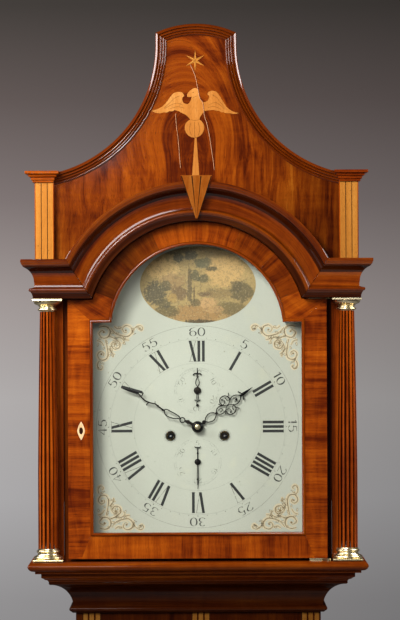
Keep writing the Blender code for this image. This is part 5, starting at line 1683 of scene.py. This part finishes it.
def small_hands():
    """The seconds hand, with its anchor-shaped head, and the calendar hand that points down."""
    strokes = both_sides(((((5.7, 0), (9, 2.1), (13, 2.5), (20, 0)), 0.5),
                          (((24.2, 0.0), (24.8, 2.6), (24.0, 5.0), (22.6, 5.6)), 0.75),
                          (((-3, 0.9), (-9, 1.0), (-15, 0.9)), 0.45),
                          (((-15, 0.6), (-14.4, 2.4), (-13.6, 3.8)), 0.6)))
    strokes += ((((3, 0), (5.7, 0)), 0.9), (((20, 0), (26, 0), (32.6, 0)), 0.55),
                (((-15, 0.4), (-18, -1.2), (-20.6, -0.4)), 0.55))
    blobs = both_sides((((22.8, 5.4), 1.1), ((-13.6, 3.6), 0.8)))
    blobs += (((0.0, 0.0), 5.4), ((21.0, 0.0), 1.5), ((-21.2, 0.0), 2.1))
    pierced("seconds_hand", SMALL_FRONT, SECONDS, 0.0, strokes, blobs, (), (), (0.0036, 0.0012))
    strokes = both_sides(((((4.5, 0.6), (14, 0.8), (24, 0.9), (33, 0.4)), 0.4),
                          (((-21.3, 0.3), (-20.6, 2.6), (-22.2, 4.4)), 0.7)))
    strokes += ((((32, 0), (38.8, 0)), 0.35), (((-3, 0), (-12, 0), (-21.3, 0)), 0.75))
    blobs = (((0.0, 0.0), 4.6), ((-12.5, 0.0), 1.4), ((25.0, 0.0), 1.2))
    pierced("calendar_hand", SMALL_FRONT, CALENDAR, math.pi, strokes, blobs, (), (), (0.0034, 0.0012))


# ---------------------------------------------------------------- trunk and plinth dress


def trunk_inlay():
    """Panels of three satinwood strips at the top of the trunk's front, and a string on each side of them."""
    strips, strings = Form(), Form()
    strip, gap, drop, string = 0.0064, 0.0025, 0.060, 0.0008
    top = THROAT_BOTTOM - 0.0008
    for start in (-0.1660, -0.0085, 0.1498):
        for k in range(3):
            x = start + k * (strip + gap)
            inlay(strips, rectangle(x, top - drop, x + strip, top), TRUNK_FRONT)
        for x in (start - 0.0010, start + 3 * strip + 2 * gap + 0.0002):
            inlay(strings, rectangle(x, top - drop, x + string, top), TRUNK_FRONT)
    # The strips are satinwood darkened to about a third: painted shade under the hood.
    look = wood("trunk_strips_painted_shade", "z", tinted(SATINWOOD, 0.35))
    finish("trunk_inlay_strips", strips, look, "case", weld=False)
    finish("trunk_inlay_strings", strings, stringing(), "case", weld=False)


def string_frame(form, half, bottom, top, width, front):
    """A line of inlay round a rectangle, mitred at its corners."""
    outer = rectangle(-half, bottom, half, top)
    inner = rectangle(width - half, bottom + width, half - width, top - width)
    for i in range(4):
        j = (i + 1) % 4
        inlay(form, [outer[i], outer[j], inner[j], inner[i]], front)


def trunk_dress():
    """The trunk door's crossbanding, stringing, escutcheon and hinges, and the plinth's string panel."""
    near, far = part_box("trunk_door")
    half, front = far.x, near.y
    band, edge = 0.024, 0.0015
    inner = half - band
    low_z, high_z = near.z + edge, far.z - edge
    side = [(inner, low_z + band), (half - edge, low_z), (half - edge, high_z), (inner, high_z - band)]
    level = [(-inner, low_z + band), (edge - half, low_z), (half - edge, low_z), (inner, low_z + band)]
    look = wood("trunk_crossband", figure=1.3, gloss=0.6)
    form = Form()

    def level_grain(p):
        return p[0] + 2.0, p[2] + 1.0, p[1]

    def upright_grain(p):
        return p[2] + 3.0, p[0] + 1.0, p[1]

    top = [(x, low_z + high_z - z) for x, z in level]
    for sheet, grain in ((side, level_grain), (mirrored(side), level_grain),
                         (level[::-1], upright_grain), (top, upright_grain)):
        inlay(form, sheet, front, grain)
    finish("trunk_door_crossbanding", form, look, "trunk_door", weld=False)
    form = Form()
    string_frame(form, inner, low_z + band, high_z - band, 0.0012, front)
    finish("trunk_door_string", form, satinwood("trunk", 0.9), "trunk_door", weld=False)
    escutcheon("trunk_door_escutcheon", "trunk_door", (-half + band / 2 + 0.001, 1.14), front - PROUD)
    form = Form()
    for z in (near.z + 0.09, far.z - 0.09):
        profile = outline([(0.0, -0.022), (0.0012, -0.022), (0.0022, -0.0205, 0.3), (0.0022, 0.0205),
                           (0.0012, 0.022, 0.3), (0.0, 0.022)], 4)
        form.turned(profile, (half + 0.0008, front - 0.0004, z), steps=20)
    finish("trunk_door_hinges", form, metal("pale_brass"), "trunk_door", angle=30)
    form = Form()
    z = low("plinth_front").z
    string_frame(form, PLINTH_HALF - 0.045, z + 0.050, PLINTH_TOP - 0.045, 0.0014, PLINTH_FRONT)
    finish("plinth_string", form, satinwood("trunk", 0.9), "case", weld=False)


# ---------------------------------------------------------------- carried-over CAD nodes


def paint(node, look, bevel=0.0):
    """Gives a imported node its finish, and rounds its arrises where asked."""
    thing = NODES[node]
    thing.data.materials.clear()
    thing.data.materials.append(look)
    if bevel:
        soften(thing, bevel)


def carried_over():
    """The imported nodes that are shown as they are."""
    foot = wood("foot_wood", "x", figure=0.5, shift=0.7)
    side = wood("side_wood", "z", figure=0.4, shift=9.4)
    for word in ("left", "right"):
        for part, look, bevel in (("foot_front", foot, 0.0008), ("foot_rear", foot, 0.0008),
                                  ("plinth_side", side, 0.0006), ("trunk_side", side, 0.0006),
                                  ("hood_side", side, 0.0006)):
            paint(f"{part}_{word}", look, bevel)
    paint("plinth_front", wood("plinth_wood", "z", figure=1.3, sway=0.05, shift=4.4), 0.0006)
    # The trunk's front frame darkens towards its top: painted shadow of the hood above it.
    look = wood("frame_wood_painted_shadow", "z", DEEP_MAHOGANY, figure=0.5, shift=5.9, painted_shade=("Z", 1.44, 1.575, 0.21))
    paint("trunk_front_frame", look, 0.0005)
    # The dial mask, seen at the back of the slots beside the door, is in dark tones as painted shade.
    paint("dial_mask", wood("mask_wood_painted_shade", "z", DARK_MAHOGANY, figure=0.2, shift=1.1))
    # The tympanum darkens towards the right: painted shade for light falling off away from the key light.
    look = wood("tympanum_wood_painted_shade", "z", DEEP_MAHOGANY, figure=0.5, sway=0.035, shift=2.6, contrast=1.6,
                rings=((0.004, 2.235), 0.42), painted_shade=("X", 0.0, 0.20, 0.55))
    paint("tympanum", look, 0.0003)
    oak = wood("oak_wood", "z", OAK, figure=0.2, shift=0.4, gloss=0.0)
    for node in ("backboard", "seatboard"):
        paint(node, oak, 0.0005)
    paint("hood_roof_board", wood("roof_oak", "x", OAK, figure=0.2, shift=0.9, gloss=0.0), 0.0005)
    metals = {"satin_brass": ("movement_front_plate", "movement_back_plate", "centre_wheel", "third_wheel",
                              "barrel_time", "barrel_strike", "escape_wheel", "pendulum_bob"),
              "grey_steel": ("pallet_anchor", "pendulum_rod"), "bell_bronze": ("bell",)}
    for name, nodes in metals.items():
        for node in nodes:
            paint(node, metal(name))
    line = gut()
    for word in ("time", "strike"):
        paint(f"weight_{word}", metal("dull_lead"), 0.001)
        paint(f"gut_line_{word}", line)
    paint("dial_plate", dial_paint())
    paint("hood_door_glass", pane())
    paint("hood_door_frame", wood("door_core_wood", "z", DARK_MAHOGANY, figure=0.4, shift=3.3), 0.0004)
    paint("trunk_door", wood("trunk_door_wood", "z", figure=1.4, sway=0.06, shift=7.2), 0.0006)


world()
camera()
lights()
floor()
carried_over()
case_mouldings()
cornice()
pediment_mouldings()
pediment_caps()
columns()
pilasters()
keystone()
star()
eagle()
cracks()
door_veneers()
door_bead()
door_fittings()
roman_numerals()
minute_ring()
subsidiary_dials()
winding_rings()
winding_ends()
corner_scrolls()
painting()
minute_hand()
hour_hand()
small_hands()
trunk_inlay()
trunk_dress()

bpy.context.scene.view_settings.view_transform = "Standard"
